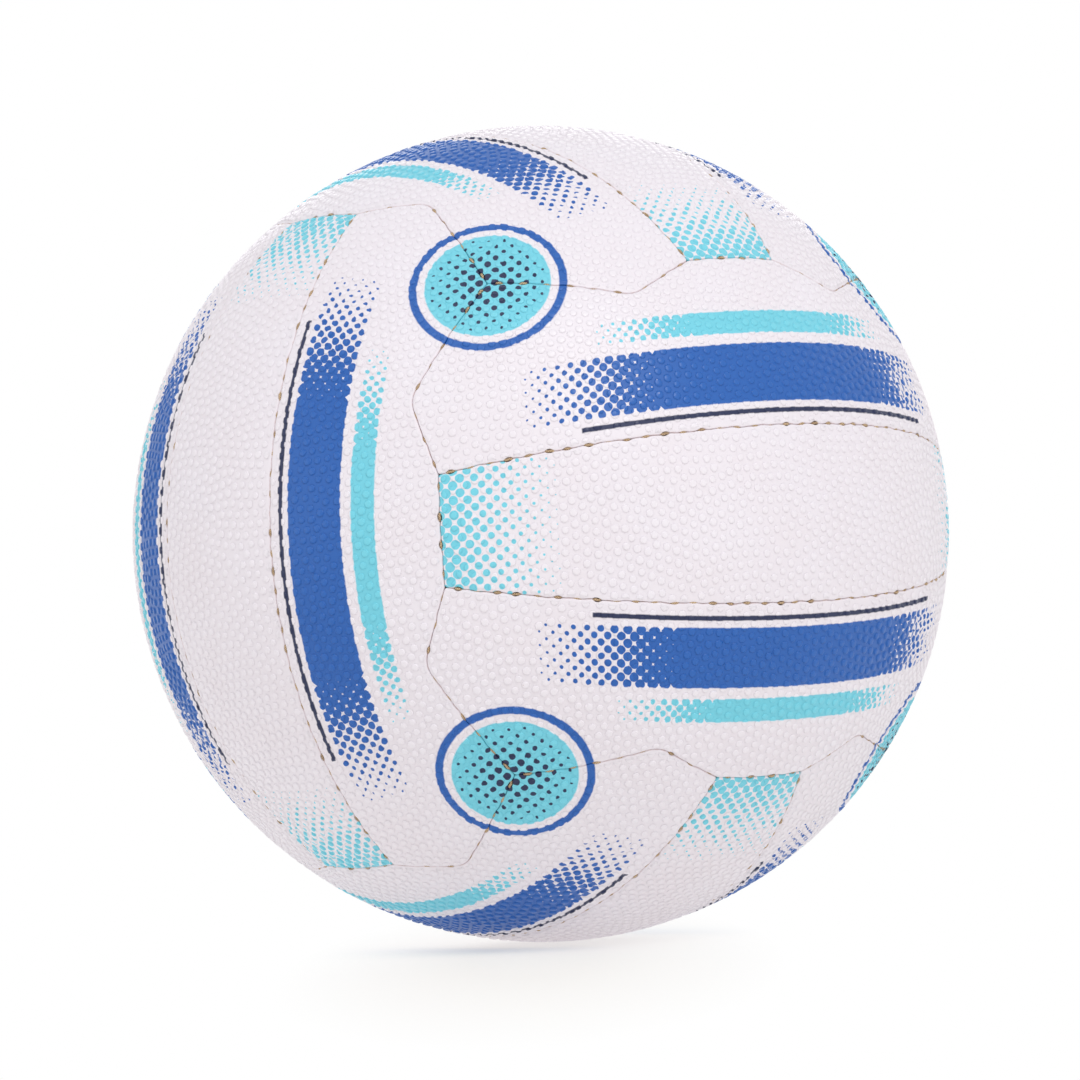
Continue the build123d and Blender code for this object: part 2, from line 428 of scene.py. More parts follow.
    def ring(self, loop: EdgeLoop) -> list[Vector]:
        """Give one loop of a strip's edge on the sphere, the same count of points for every loop.

        Args:
            loop: The loop's inset and its opening at stitches.

        Returns:
            Points on the sphere, in the outline's order.
        """
        count = len(self.corners)
        arcs = [self.arc(index, loop.inset) for index in range(count)]
        points = []
        for index in range(count):
            points += arcs[index]
            points += self.run_points(index, arcs[index][-1], arcs[(index + 1) % count][0], loop)
        return points

    def run_points(self, index: int, start: Vector, end: Vector, loop: EdgeLoop) -> list[Vector]:
        """Give the points between two corners of the outline, without its ends.

        Args:
            index: The run's place in the outline.
            start: Last point of the corner before it.
            end: First point of the corner after it.
            loop: The loop's inset and its opening at stitches.

        Returns:
            Points on the sphere.
        """
        normal = self.normals[index]
        first = self.corners[index]
        side = self.side(index)
        steps = max(self.least_steps, round(self.lengths[index] / self.point_spacing))
        points = []
        for step in range(1, steps):
            middle = start.lerp(end, step / steps)
            flat = (middle - normal * normal.dot(middle)).normalized()
            place = math.atan2(flat.dot(side), flat.dot(first)) * self.plan.radius
            drawn = loop.inset + loop.opening * self.opening(index, place)
            drawn += loop.stray_share * self.strayed(index, place)
            points.append(normal * drawn + flat * math.sqrt(self.plan.radius**2 - drawn**2))
        return points


@dataclass(frozen=True)
class PebbleSizes:
    """The moulded grain: flat-topped buttons of uneven size, packed at random."""

    area_each: float = 6.5 * MM * MM
    largest_radius: float = 1.2 * MM
    radius_spread: float = 0.2
    gap_between: float = 0.08 * MM
    seam_clearance: float = 1.1 * MM
    cut_margin: float = 0.07 * MM
    height: float = 0.35 * MM
    height_spread: float = 0.15
    oval: float = 0.1
    settle_steps: int = 70
    settle_rate: float = 0.2
    settle_reach: float = 1.25
    hole_margin: float = 1.0 * MM
    lean_step: float = 0.01
    blocks: int = 32
    seed: int = 18
    ring_points: int = 10
    # Share of the radius, share of the height and lean of the surface, in degrees, of each ring.
    rings: tuple[tuple[float, float, float], ...] = (
        (0.68, 0.96, 10.0),
        (0.9, 0.55, 63.0),
        (1.0, 0.0, 0.0),
    )


@dataclass
class CoverStrip:
    """One cover strip: a pebbled rubber sheet with rolled edges and a turned-in rim."""

    plan: SeamPlan
    kind: StripKind
    valve_hole_radius: float = 0.0
    pebbles: PebbleSizes = PebbleSizes()
    cover_thickness: float = 1.4 * MM
    rim_depth: float = 3.7 * MM
    seam_inset: float = 0.015 * MM
    stitch_opening: float = 0.46 * MM
    base_depth: float = 0.07 * MM
    edge_swell: float = 0.12 * MM
    edge_swell_reach: float = 2.2 * MM
    inner_spacing: float = 7.0 * MM
    inner_margin_share: float = 1 / 3
    hole_loop_points: int = 48
    flat_merge: float = 1e-6
    # Inset, depth and share of the stitch opening of each loop of the rolled edge.
    roll: tuple[tuple[float, float, float], ...] = (
        (0.62, 0.0, 0.0),
        (0.38, 0.03, 0.3),
        (0.2, 0.1, 0.7),
        (0.07, 0.23, 0.95),
        (0.0, 0.6, 1.0),
    )

    def __post_init__(self) -> None:
        """Lay out the strip's outline and the slope of its flat drawing plane."""
        plan = self.plan
        ends = plan.end_runs()
        if self.kind is StripKind.OUTER:
            side = plan.long_side()
            corners = [plan.junction(-1), plan.junction(), plan.tip(), *side, plan.tip(-1)]
            runs = [plan.strip_run(), ends[1].reverse(), ends[0].reverse()]
            runs += [*ends, ends[4].reverse(), ends[3].reverse()]
            middle_of_seam = (corners[0] + corners[1]).normalized()
            middle_of_side = (side[2] + side[3]).normalized()
            middle = (middle_of_seam + middle_of_side).normalized()
            self.slope = math.asin(middle.y)
        else:
            corners = [plan.junction(-1, -1), plan.junction(1, -1), plan.junction(), plan.junction(-1)]
            runs = [plan.strip_run().reverse(), ends[2].reverse()] * 2
            self.slope = 0.0
        self.path = SeamPath(plan, corners, runs)
        self.points: list[np.ndarray] = []
        self.skin: list[np.ndarray] = []
        self.pebble_normals = np.empty((0, 3))
        self.first_pebble_point = 0
        self.faces: list[list[int]] = []
        self.point_count = 0

    @property
    def roll_width(self) -> float:
        """Give the width of the rolled edge, in millimetres."""
        return self.roll[0][0]

    def hole_reach(self, clearance: float = 0.0) -> float:
        """Give how far the skin stays free of points round the valve hole.

        Args:
            clearance: Room for a pebble, in millimetres.

        Returns:
            Reach from the face's middle in millimetres, 0 where the strip has no hole.
        """
        if not self.valve_hole_radius:
            return 0.0
        return self.valve_hole_radius / MM + clearance + self.pebbles.hole_margin / MM

    def flatten(self, points: np.ndarray) -> np.ndarray:
        """Draw points of the ball on the strip's own flat plane.

        Args:
            points: Points in the face's frame, one per row.

        Returns:
            Lengths along and across the strip, in millimetres, one pair per row.
        """
        radii = np.linalg.norm(points, axis=1)
        cosine, sine = math.cos(self.slope), math.sin(self.slope)
        across = (points[:, 1] * cosine - points[:, 2] * sine) / radii
        out = points[:, 1] * sine + points[:, 2] * cosine
        scale = self.plan.radius / MM
        return np.column_stack((np.arctan2(points[:, 0], out), np.arcsin(across))) * scale

    def raise_up(self, flat: np.ndarray) -> np.ndarray:
        """Give the unit directions of points drawn on the strip's flat plane.

        Args:
            flat: Lengths along and across the strip, in millimetres.

        Returns:
            Unit vectors in the face's frame, one per row.
        """
        turn = flat * MM / self.plan.radius
        along, across = turn[:, 0], turn[:, 1]
        x = np.sin(along) * np.cos(across)
        y = np.sin(across)
        z = np.cos(along) * np.cos(across)
        cosine, sine = math.cos(self.slope), math.sin(self.slope)
        return np.column_stack((x, y * cosine + z * sine, z * cosine - y * sine))

    def add_points(self, points: np.ndarray, grain: np.ndarray, edge: np.ndarray) -> list[int]:
        """Keep points of the mesh with their grain height and distance from the seam.

        Args:
            points: Points in the face's frame.
            grain: Height of the grain at each, from 0 to 1.
            edge: Distance of each from the seam, in millimetres.

        Returns:
            The points' places in the mesh.
        """
        first = self.point_count
        self.points.append(points)
        self.skin.append(np.column_stack((grain, edge, np.zeros(len(points)))))
        self.point_count += len(points)
        return list(range(first, self.point_count))

    def add_loop(self, loop: EdgeLoop) -> list[int]:
        """Add one loop of the strip's edge.

        Args:
            loop: The loop's inset, depth and opening.

        Returns:
            Its points' places in the mesh.
        """
        ring = np.array(self.path.ring(loop))
        points = ring * ((self.plan.radius - loop.depth) / self.plan.radius)
        edge = np.full(len(points), loop.inset / MM)
        return self.add_points(points, np.zeros(len(points)), edge)

    def add_hole_loop(self, radius: float, depth: float) -> list[int]:
        """Add one loop round the valve hole, clockwise from outside.

        Args:
            radius: The loop's radius about the face's axis.
            depth: Its depth below the ball's surface.

        Returns:
            Its points' places in the mesh.
        """
        turns = -np.linspace(0, math.tau, self.hole_loop_points, endpoint=False)
        level = math.sqrt((self.plan.radius - depth) ** 2 - radius**2)
        flat = radius * np.array((np.cos(turns), np.sin(turns)))
        points = np.column_stack((*flat, np.full(len(turns), level)))
        edge = np.full(len(points), self.roll_width)
        return self.add_points(points, np.zeros(len(points)), edge)

    def bridge(self, first: list[int], second: list[int]) -> None:
        """Join two loops of the same count with a row of faces.

        Args:
            first: Point places of one loop.
            second: Point places of the next.
        """
        count = len(first)
        for index in range(count):
            after = (index + 1) % count
            self.faces.append([second[index], second[after], first[after], first[index]])

    def swell(self, edge: np.ndarray) -> np.ndarray:
        """Give how far the sheet falls away towards its seam.

        Args:
            edge: Distance from the rolled edge, in metres.

        Returns:
            Depth in metres.
        """
        return self.edge_swell * np.exp(-edge / self.edge_swell_reach)

    def fill(
        self, loops: list[list[int]], inside: np.ndarray, inside_ids: list[int], outward: bool
    ) -> None:
        """Fill the space inside closed loops with triangles through given points.

        Args:
            loops: Loops of point places, the first round the outside.
            inside: Flat places of the inside points, in millimetres.
            inside_ids: Their places in the mesh.
            outward: True where the faces look out of the ball.
        """
        every = np.concatenate(self.points)
        flat_loops = [self.flatten(every[loop]) for loop in loops]
        ids = [place for loop in loops for place in loop] + inside_ids
        flat = np.concatenate([*flat_loops, inside])
        edges = []
        first = 0
        for loop in loops:
            count = len(loop)
            edges += [(first + index, first + (index + 1) % count) for index in range(count)]
            first += count
        places = [Vector(pair) for pair in flat.tolist()]
        result = delaunay_2d_cdt(places, edges, [], INSIDE_TRIANGLES, self.flat_merge)
        origins = [source[0] for source in result[3]]
        hole = self.valve_hole_radius / MM
        for triangle in result[2]:
            corners = [origins[corner] for corner in triangle]
            if hole and np.linalg.norm(flat[corners].mean(axis=0)) < hole:
                continue
            face = [ids[corner] for corner in corners]
            self.faces.append(face if outward else face[::-1])

    def pebble_centres(self, outline: np.ndarray) -> np.ndarray:
        """Scatter the pebbles and let them push each other apart until they lie evenly.

        Args:
            outline: Flat outline of the pebbled field, in millimetres.

        Returns:
            Flat centres, in millimetres.
        """
        rng = np.random.default_rng(self.pebbles.seed)
        shifted = np.roll(outline, -1, axis=0)
        area = 0.5 * abs(np.sum(outline[:, 0] * shifted[:, 1] - shifted[:, 0] * outline[:, 1]))
        wanted = round(area / (self.pebbles.area_each / MM**2))
        low, high = outline.min(axis=0), outline.max(axis=0)
        clearance = self.pebbles.seam_clearance / MM - self.roll_width
        hole = self.hole_reach(clearance)
        centres = np.empty((0, 2))
        while len(centres) < wanted:
            tries = rng.uniform(low, high, (wanted, 2))
            tries = tries[inside_outline(tries, outline)]
            tries = tries[nearest(tries, outline)[0] > clearance]
            tries = tries[np.linalg.norm(tries, axis=1) > hole]
            centres = np.concatenate((centres, tries))
        centres = centres[:wanted]
        reach = self.pebbles.settle_reach * math.sqrt(area / wanted)
        for _ in range(self.pebbles.settle_steps):
            gaps = centres[:, None, :] - centres[None, :, :]
            length = np.sqrt((gaps**2).sum(axis=2)) + np.eye(wanted) * 2 * reach + LEAST_LENGTH
            push = np.clip(reach - length, 0, None) / length
            centres = centres + self.pebbles.settle_rate * (gaps * push[:, :, None]).sum(axis=1)
            edge, which = nearest(centres, outline)
            away = (centres - outline[which]) / edge[:, None]
            centres = centres + away * np.clip(clearance - edge, 0, None)[:, None]
            if hole:
                out = np.linalg.norm(centres, axis=1)
                centres = centres * (np.maximum(out, hole) / out)[:, None]
        return centres[inside_outline(centres, outline)]

    def add_pebbles(self, outline: np.ndarray) -> tuple[np.ndarray, list[int]]:
        """Add the points of all pebbles.

        Args:
            outline: Flat outline of the pebbled field, in millimetres.

        Returns:
            The points' flat places in millimetres and their places in the mesh.
        """
        rng = np.random.default_rng(self.pebbles.seed + 1)
        centres = self.pebble_centres(outline)
        gaps = np.linalg.norm(centres[:, None, :] - centres[None, :, :], axis=2)
        np.fill_diagonal(gaps, np.inf)
        room = gaps.min(axis=1) / 2 - self.pebbles.gap_between / MM
        smaller = self.pebbles.radius_spread * rng.uniform(0, 1, len(centres))
        radii = np.minimum(room, self.pebbles.largest_radius / MM * (1 - smaller))
        heights = 1 + self.pebbles.height_spread * rng.uniform(-1, 1, len(centres))
        stretch = self.pebbles.oval * rng.uniform(0, 1, len(centres))
        aim = rng.uniform(0, math.tau, len(centres))
        flat, grain = [centres], [heights]
        lean = [np.zeros_like(centres)]
        for share, level, slope in self.pebbles.rings:
            for step in range(self.pebbles.ring_points):
                turn = aim + math.tau * step / self.pebbles.ring_points
                spoke = np.column_stack((np.cos(turn), np.sin(turn)))
                reach = radii * share * (1 - stretch * np.sin(turn - aim) ** 2)
                flat.append(centres + spoke * reach[:, None])
                grain.append(heights * level)
                lean.append(spoke * math.tan(math.radians(slope)))
        flat_points, grain_points, leans = (np.concatenate(rows) for rows in (flat, grain, lean))
        blocks = np.array_split(flat_points, self.pebbles.blocks)
        kept = np.concatenate([inside_outline(block, outline) for block in blocks])
        edge = np.concatenate([nearest(block, outline)[0] for block in blocks])
        kept &= edge > self.pebbles.cut_margin / MM
        every = (flat_points, grain_points, edge, leans)
        flat_points, grain_points, edge, leans = (values[kept] for values in every)
        depth = self.base_depth + self.swell(edge * MM) - grain_points * self.pebbles.height
        out = self.raise_up(flat_points)
        self.pebble_normals = self.leaning(flat_points, out, leans)
        points = out * (self.plan.radius - depth)[:, None]
        ids = self.add_points(points, grain_points, edge + self.roll_width)
        self.first_pebble_point = ids[0]
        return flat_points, ids

    def leaning(self, flat: np.ndarray, out: np.ndarray, leans: np.ndarray) -> np.ndarray:
        """Give the normals of points whose surface leans away from a pebble's middle.

        Args:
            flat: Flat places of the points, in millimetres.
            out: Their unit directions on the ball.
            leans: Slope of the surface at each, along and across the strip.

        Returns:
            Unit normals in the face's frame.
        """
        step = np.linalg.norm(leans, axis=1)[:, None]
        small = self.pebbles.lean_step
        ahead = self.raise_up(flat + small * leans / np.maximum(step, small)) - out
        ahead /= np.maximum(np.linalg.norm(ahead, axis=1), LEAST_RISE)[:, None]
        normals = out + ahead * step
        return normals / np.linalg.norm(normals, axis=1)[:, None]

    def inner_grid(self, outline: np.ndarray) -> np.ndarray:
        """Give the flat places of the sparse points that round the inner face, in millimetres.

        Args:
            outline: Flat outline of the inner face, in millimetres.

        Returns:
            Lengths along and across the strip, one pair per row.
        """
        step = self.inner_spacing / MM
        low, high = outline.min(axis=0), outline.max(axis=0)
        columns, rows = np.meshgrid(np.arange(low[0], high[0], step), np.arange(low[1], high[1], step))
        grid = np.column_stack((columns.ravel(), rows.ravel()))
        grid = grid[inside_outline(grid, outline)]
        grid = grid[nearest(grid, outline)[0] > step * self.inner_margin_share]
        return grid[np.linalg.norm(grid, axis=1) >= self.hole_reach()]

    def build(self, name: str) -> Mesh:
        """Build the strip's mesh in its face's frame.

        Args:
            name: Name of the mesh.

        Returns:
            The mesh, with the attributes that its finish reads.
        """
        swell = float(self.swell(np.zeros(1))[0])
        loops = []
        for inset, depth, share in self.roll:
            sunk = self.base_depth + swell + depth * MM
            loops.append(EdgeLoop(self.seam_inset + inset * MM, sunk, self.stitch_opening * share))
        inner = self.plan.rim_inset
        loops.append(EdgeLoop(self.seam_inset, self.rim_depth, self.stitch_opening))
        loops.append(EdgeLoop(inner, self.rim_depth, stray_share=0.0))
        loops.append(EdgeLoop(inner, self.cover_thickness, stray_share=0.0))
        chain = [self.add_loop(loop) for loop in loops]
        for first, second in zip(chain, chain[1:]):
            self.bridge(first, second)
        skin_loops, back_loops = [chain[0]], [chain[-1]]
        if self.valve_hole_radius:
            hole = self.valve_hole_radius
            sizes = [(hole + inset * MM, self.base_depth + depth * MM) for inset, depth, _ in self.roll]
            sizes.append((hole, self.cover_thickness))
            hole_chain = [self.add_hole_loop(radius, depth) for radius, depth in sizes]
            for first, second in zip(hole_chain, hole_chain[1:]):
                self.bridge(first, second)
            skin_loops.append(hole_chain[0])
            back_loops.append(hole_chain[-1])
        outline = self.flatten(np.concatenate(self.points)[chain[0]])
        flat, ids = self.add_pebbles(outline)
        self.fill(skin_loops, flat, ids, outward=True)
        back_outline = self.flatten(np.concatenate(self.points)[chain[-1]])
        grid = self.inner_grid(back_outline)
        depth = self.plan.radius - self.cover_thickness
        blank = np.zeros(len(grid))
        grid_ids = self.add_points(self.raise_up(grid) * depth, blank, blank)
        self.fill(back_loops, grid, grid_ids, outward=False)
        return self.make_mesh(name)

    def make_mesh(self, name: str) -> Mesh:
        """Turn the kept points and faces into a mesh with its attributes.

        Args:
            name: Name of the mesh.

        Returns:
            The mesh.
        """
        points = np.concatenate(self.points)
        mesh = bpy.data.meshes.new(name)
        mesh.from_pydata(points.tolist(), [], self.faces)
        directions = points / np.linalg.norm(points, axis=1)[:, None]
        if self.kind is StripKind.OUTER:
            sine = directions @ np.array(self.path.normals[0])
        else:
            sine = directions[:, 1]
        scale = self.plan.radius / MM
        along = np.arctan2(directions[:, 0], directions[:, 2]) * scale
        off = np.arcsin(sine) * scale
        skin = np.concatenate(self.skin)
        place = np.column_stack((along, off, skin[:, 1]))
        write_vectors(mesh, PLACE_ATTRIBUTE, place)
        write_vectors(mesh, SKIN_ATTRIBUTE, skin)
        mesh.validate()
        mesh.shade_smooth()
        normals = np.empty(len(points) * 3, dtype=np.float32)
        mesh.vertex_normals.foreach_get("vector", normals)
        normals = normals.reshape(-1, 3)
        pebbled = slice(self.first_pebble_point, self.first_pebble_point + len(self.pebble_normals))
        normals[pebbled] = self.pebble_normals
        mesh.normals_split_custom_set_from_vertices(normals.tolist())
        return mesh


def nearest(points: np.ndarray, outline: np.ndarray) -> tuple[np.ndarray, np.ndarray]:
    """Find the nearest outline point to each point.

    Args:
        points: Flat points, one per row.
        outline: Flat outline points.

    Returns:
        The distances and the places of the nearest outline points.
    """
    squares = (points[:, 0, None] - outline[None, :, 0]) ** 2
    squares += (points[:, 1, None] - outline[None, :, 1]) ** 2
    which = squares.argmin(axis=1)
    return np.sqrt(squares[np.arange(len(points)), which]) + LEAST_LENGTH, which


def inside_outline(points: np.ndarray, outline: np.ndarray) -> np.ndarray:
    """Tell which points lie inside a closed flat outline.

    Args:
        points: Flat points, one per row.
        outline: Flat outline points in order.

    Returns:
        True for each point inside.
    """
    after = np.roll(outline, -1, axis=0)
    x, y = points[:, 0, None], points[:, 1, None]
    spans = (outline[None, :, 1] > y) != (after[None, :, 1] > y)
    rise = after[:, 1] - outline[:, 1]
    rise = np.where(np.abs(rise) < LEAST_RISE, LEAST_RISE, rise)
    crossing = outline[:, 0] + (y - outline[:, 1]) * (after[:, 0] - outline[:, 0]) / rise
    return (spans & (x < crossing)).sum(axis=1) % 2 == 1


def write_vectors(mesh: Mesh, name: str, values: np.ndarray) -> None:
    """Keep one vector per point on a mesh, under a name that its finish reads."""
    attribute = mesh.attributes.new(name, "FLOAT_VECTOR", "POINT")
    attribute.data.foreach_set("vector", values.astype(np.float32).ravel())


@dataclass
class SeamStitching:
    """The thread of one seam: it crosses the seam at each stitch and runs on inside the rims."""

    plan: SeamPlan
    corners: list[Vector]
    runs: list[SeamRun]
    thread_radius: float = 0.33 * MM
    thread_sides: int = 8
    smooth_steps: int = 3
    shown_depth: float = 0.72 * MM
    shown_depth_spread: float = 0.28 * MM
    shown_half_length: float = 0.78 * MM
    half_length_range: Span = (0.6, 1.1)
    shown_half_width: float = 0.07 * MM
    seed: int = 4
    rail_half_length: float = 1.1 * MM
    rail_inset: float = 1.85 * MM
    rail_depth: float = 2.45 * MM

    def __post_init__(self) -> None:
        """Lay out the seam."""
        self.path = SeamPath(self.plan, self.corners, self.runs)

    def place(self, index: int, along: float, offset: float, depth: float) -> Vector:
        """Give a point beside the seam.

        Args:
            index: The run of the seam.
            along: Length along the run from its first corner.
            offset: Distance from the seam, to its left.
            depth: Depth below the ball's surface.

        Returns:
            The point in the face's frame.
        """
        turn = along / self.plan.radius
        path = self.path
        flat = path.corners[index] * math.cos(turn) + path.side(index) * math.sin(turn)
        beside = path.normals[index] * (offset + path.strayed(index, along))
        return (flat * self.plan.radius + beside).normalized() * (self.plan.radius - depth)

    def route(self) -> list[Vector]:
        """Give the points that the thread passes through, from one end of the seam to the other.

        Returns:
            Points in the face's frame.
        """
        rng = np.random.default_rng(self.seed)
        points = []
        side = -1
        for index in range(len(self.runs)):
            for place, pull in zip(self.path.stitch_places[index], self.path.stitch_pull[index]):
                half = self.shown_half_length * rng.uniform(*self.half_length_range)
                depth = self.shown_depth + self.shown_depth_spread * (rng.uniform(0, 1) - pull)
                rail = self.rail_half_length
                shown = self.shown_half_width * side
                points.append(self.place(index, place - rail, self.rail_inset * side, self.rail_depth))
                points.append(self.place(index, place - half, shown, depth))
                points.append(self.place(index, place + half, -shown, depth))
                points.append(self.place(index, place + rail, -self.rail_inset * side, self.rail_depth))
                side = -side
            if index + 1 < len(self.runs):
                bend = self.path.corner_point(index + 1, self.rail_inset * side)
                points.append(bend.normalized() * (self.plan.radius - self.rail_depth))
        return points

    def smooth_route(self) -> np.ndarray:
        """Give the route as a smooth line through its points.

        Returns:
            Points in the face's frame, one per row.
        """
        points = np.array(self.route())
        before = np.vstack((2 * points[0] - points[1], points[:-2]))
        after = np.vstack((points[2:], 2 * points[-1] - points[-2]))
        start, end = points[:-1], points[1:]
        line = []
        for step in range(self.smooth_steps):
            t = step / self.smooth_steps
            blend = 2 * start + (end - before) * t
            blend = blend + (2 * before - 5 * start + 4 * end - after) * t**2
            blend = blend + (3 * start - before - 3 * end + after) * t**3
            line.append(blend / 2)
        smooth = np.stack(line, axis=1).reshape(-1, 3)
        return np.vstack((smooth, points[-1]))

    def build(self, name: str) -> Mesh:
        """Build the thread as a closed tube.

        Args:
            name: Name of the mesh.

        Returns:
            The mesh, with its lay along and round the thread.
        """
        line = self.smooth_route()
        ahead = np.gradient(line, axis=0)
        ahead /= np.linalg.norm(ahead, axis=1)[:, None]
        out = line / np.linalg.norm(line, axis=1)[:, None]
        across = np.cross(ahead, out)
        across /= np.linalg.norm(across, axis=1)[:, None]
        lift = np.cross(across, ahead)
        turns = np.linspace(0, math.tau, self.thread_sides, endpoint=False)
        spokes = across[:, None, :] * np.cos(turns)[None, :, None]
        spokes = spokes + lift[:, None, :] * np.sin(turns)[None, :, None]
        rings = line[:, None, :] + self.thread_radius * spokes
        steps = np.linalg.norm(np.diff(line, axis=0), axis=1)
        length = np.concatenate(([0.0], np.cumsum(steps))) / MM
        sides = self.thread_sides
        faces = [list(range(sides))[::-1]]
        for ring in range(len(line) - 1):
            first = ring * sides
            for side in range(sides):
                after = (side + 1) % sides
                faces.append([first + side, first + after, first + sides + after, first + sides + side])
        faces.append([(len(line) - 1) * sides + side for side in range(sides)])
        mesh = bpy.data.meshes.new(name)
        mesh.from_pydata(rings.reshape(-1, 3).tolist(), [], faces)
        lay = np.column_stack(
            (np.repeat(length, sides), np.tile(np.cos(turns), len(line)), np.tile(np.sin(turns), len(line)))
        )
        write_vectors(mesh, LAY_ATTRIBUTE, lay)
        mesh.shade_smooth()
        return mesh


def ink(red: int, green: int, blue: int) -> Colour:
    """Give the linear colour of an sRGB one.

    Args:
        red: Red, from 0 to 255.
        green: Green, from 0 to 255.
        blue: Blue, from 0 to 255.

    Returns:
        The linear colour, opaque.
    """
    linear = []
    for value in (red, green, blue):
        share = value / 255
        linear.append(share / 12.92 if share <= 0.04045 else ((share + 0.055) / 1.055) ** 2.4)
    return (*linear, 1.0)


class NodeSheet:
    """Wires the nodes of one material or node group."""

    def __init__(self, tree: NodeTree) -> None:
        """Keep the tree that the nodes go into."""
        self.tree = tree

    def node(self, kind: str, **settings: object) -> Node:
        """Add a node and set its properties.

        Args:
            kind: Type of the node.
            **settings: Properties of the node.

        Returns:
            The node.
        """
        made = self.tree.nodes.new(kind)
        for key, value in settings.items():
            setattr(made, key, value)
        return made

    def feed(self, node: Node, sources: dict[str | int, object]) -> None:
        """Link inputs of a node to sockets, or set them to plain values.

        Args:
            node: The node.
            sources: Sockets or values by the inputs' names or places, None to leave one as it is.
        """
        for key, source in sources.items():
            if isinstance(source, NodeSocket):
                self.tree.links.new(source, node.inputs[key])
            elif source is not None:
                node.inputs[key].default_value = source

    def math(self, operation: str, first: object, second: object = None, clamp: bool = False) -> NodeSocket:
        """Work out a number.

        Args:
            operation: Name of the sum.
            first: Socket or number.
            second: Socket or number, where the sum takes two.
            clamp: Keep the result from 0 to 1.

        Returns:
            The result's socket.
        """
        made = self.node("ShaderNodeMath", operation=operation, use_clamp=clamp)
        self.feed(made, {0: first, 1: second})
        return made.outputs[0]

    def add(self, first: object, second: object, clamp: bool = False) -> NodeSocket:
        """Add two numbers."""
        return self.math("ADD", first, second, clamp)

    def times(self, first: object, second: object) -> NodeSocket:
        """Multiply two numbers."""
        return self.math("MULTIPLY", first, second)

    def vector(
        self, operation: str, first: object, second: object = None, scale: float | None = None
    ) -> NodeSocket:
        """Work out a vector, or a number where the sum gives one.

        Args:
            operation: Name of the sum.
            first: Socket or vector.
            second: Socket or vector, where the sum takes two.
            scale: Factor, for a SCALE sum alone.

        Returns:
            The result's socket.
        """
        made = self.node("ShaderNodeVectorMath", operation=operation)
        self.feed(made, {0: first, 1: second, "Scale": scale})
        return made.outputs["Value" if operation in NUMBER_SUMS else "Vector"]

    def ramp(
        self, value: object, start: float, end: float, low: float = 0.0, high: float = 1.0
    ) -> NodeSocket:
        """Map a value from start..end onto low..high, held at both ends.

        Args:
            value: Socket or number.
            start: Value where the ramp starts.
            end: Value where it ends.
            low: Result at the start.
            high: Result at the end.

        Returns:
            The result's socket.
        """
        made = self.node("ShaderNodeMapRange", clamp=True)
        self.feed(made, {0: value, 1: start, 2: end, 3: low, 4: high})
        return made.outputs[0]

    def band(self, value: object, low: float, high: float, soft: float = 0.15) -> NodeSocket:
        """Give 1 where a value lies between two bounds, with soft edges."""
        rise = self.ramp(value, low - soft, low + soft)
        return self.times(rise, self.ramp(value, high - soft, high + soft, 1.0, 0.0))

    def mix(self, factor: object, first: object, second: object, blend: str = "MIX") -> NodeSocket:
        """Mix two colours.

        Args:
            factor: Share of the second colour.
            first: Colour or its socket.
            second: Colour or its socket.
            blend: How the second goes onto the first.

        Returns:
            The result's socket.
        """
        made = self.node("ShaderNodeMix", data_type="RGBA", blend_type=blend)
        self.feed(made, {0: factor, MIX_FIRST: first, MIX_SECOND: second})
        return made.outputs[MIX_RESULT]

    def noise(
        self, place: object, scale: float, detail: float = 2.0, roughness: float = 0.5, output: str = "Fac"
    ) -> NodeSocket:
        """Add a noise texture and give one of its outputs.

        Args:
            place: Place on the piece.
            scale: How fine the noise is, per metre.
            detail: Count of finer layers.
            roughness: Weight of the finer layers.
            output: Name of the output.

        Returns:
            The output's socket.
        """
        made = self.node("ShaderNodeTexNoise")
        self.feed(made, {"Vector": place, "Scale": scale, "Detail": detail, "Roughness": roughness})
        return made.outputs[output]

    def place(self) -> NodeSocket:
        """Read the place on the piece."""
        return self.node("ShaderNodeTexCoord").outputs["Object"]

    def attribute(self, name: str) -> NodeSocket:
        """Read a vector attribute of the piece."""
        return self.node("ShaderNodeAttribute", attribute_name=name).outputs["Vector"]

    def split(self, vector: object) -> list[NodeSocket]:
        """Split a vector into its three numbers.

        Args:
            vector: The vector's socket.

        Returns:
            Sockets of x, y and z.
        """
        made = self.node("ShaderNodeSeparateXYZ")
        self.feed(made, {0: vector})
        return list(made.outputs)

    def combine(self, x: object, y: object) -> NodeSocket:
        """Put two numbers into a flat vector.

        Args:
            x: Socket or number.
            y: Socket or number.

        Returns:
            The vector's socket.
        """
        made = self.node("ShaderNodeCombineXYZ")
        self.feed(made, {0: x, 1: y})
        return made.outputs[0]

    def dot(self, size: object, dots: Node, soft: float = 0.08) -> NodeSocket:
        """Give 1 inside the nearest dot of a grid, for a dot radius in millimetres."""
        return self.ramp(self.math("SUBTRACT", size, dots.outputs["Distance"]), -soft, soft)

    def bump(self, shader: Node, height: NodeSocket, distance: float, strength: float = 1.0) -> None:
        """Roughen a shader's surface by a height that changes over it.

        Args:
            shader: The Principled node.
            height: The height's socket.
            distance: Height in metres where the socket gives 1.
            strength: Share of the bump that shows.
        """
        made = self.node("ShaderNodeBump")
        self.feed(made, {"Height": height, "Distance": distance, "Strength": strength})
        self.feed(shader, {"Normal": made.outputs[0]})

    def group(self, tree: NodeTree, **inputs: object) -> Node:
        """Place a node group and feed its inputs by name.

        Args:
            tree: The group.
            **inputs: Sockets or values by the inputs' names.

        Returns:
            The group's node.
        """
        made = self.node("ShaderNodeGroup", node_tree=tree)
        self.feed(made, inputs)
        return made

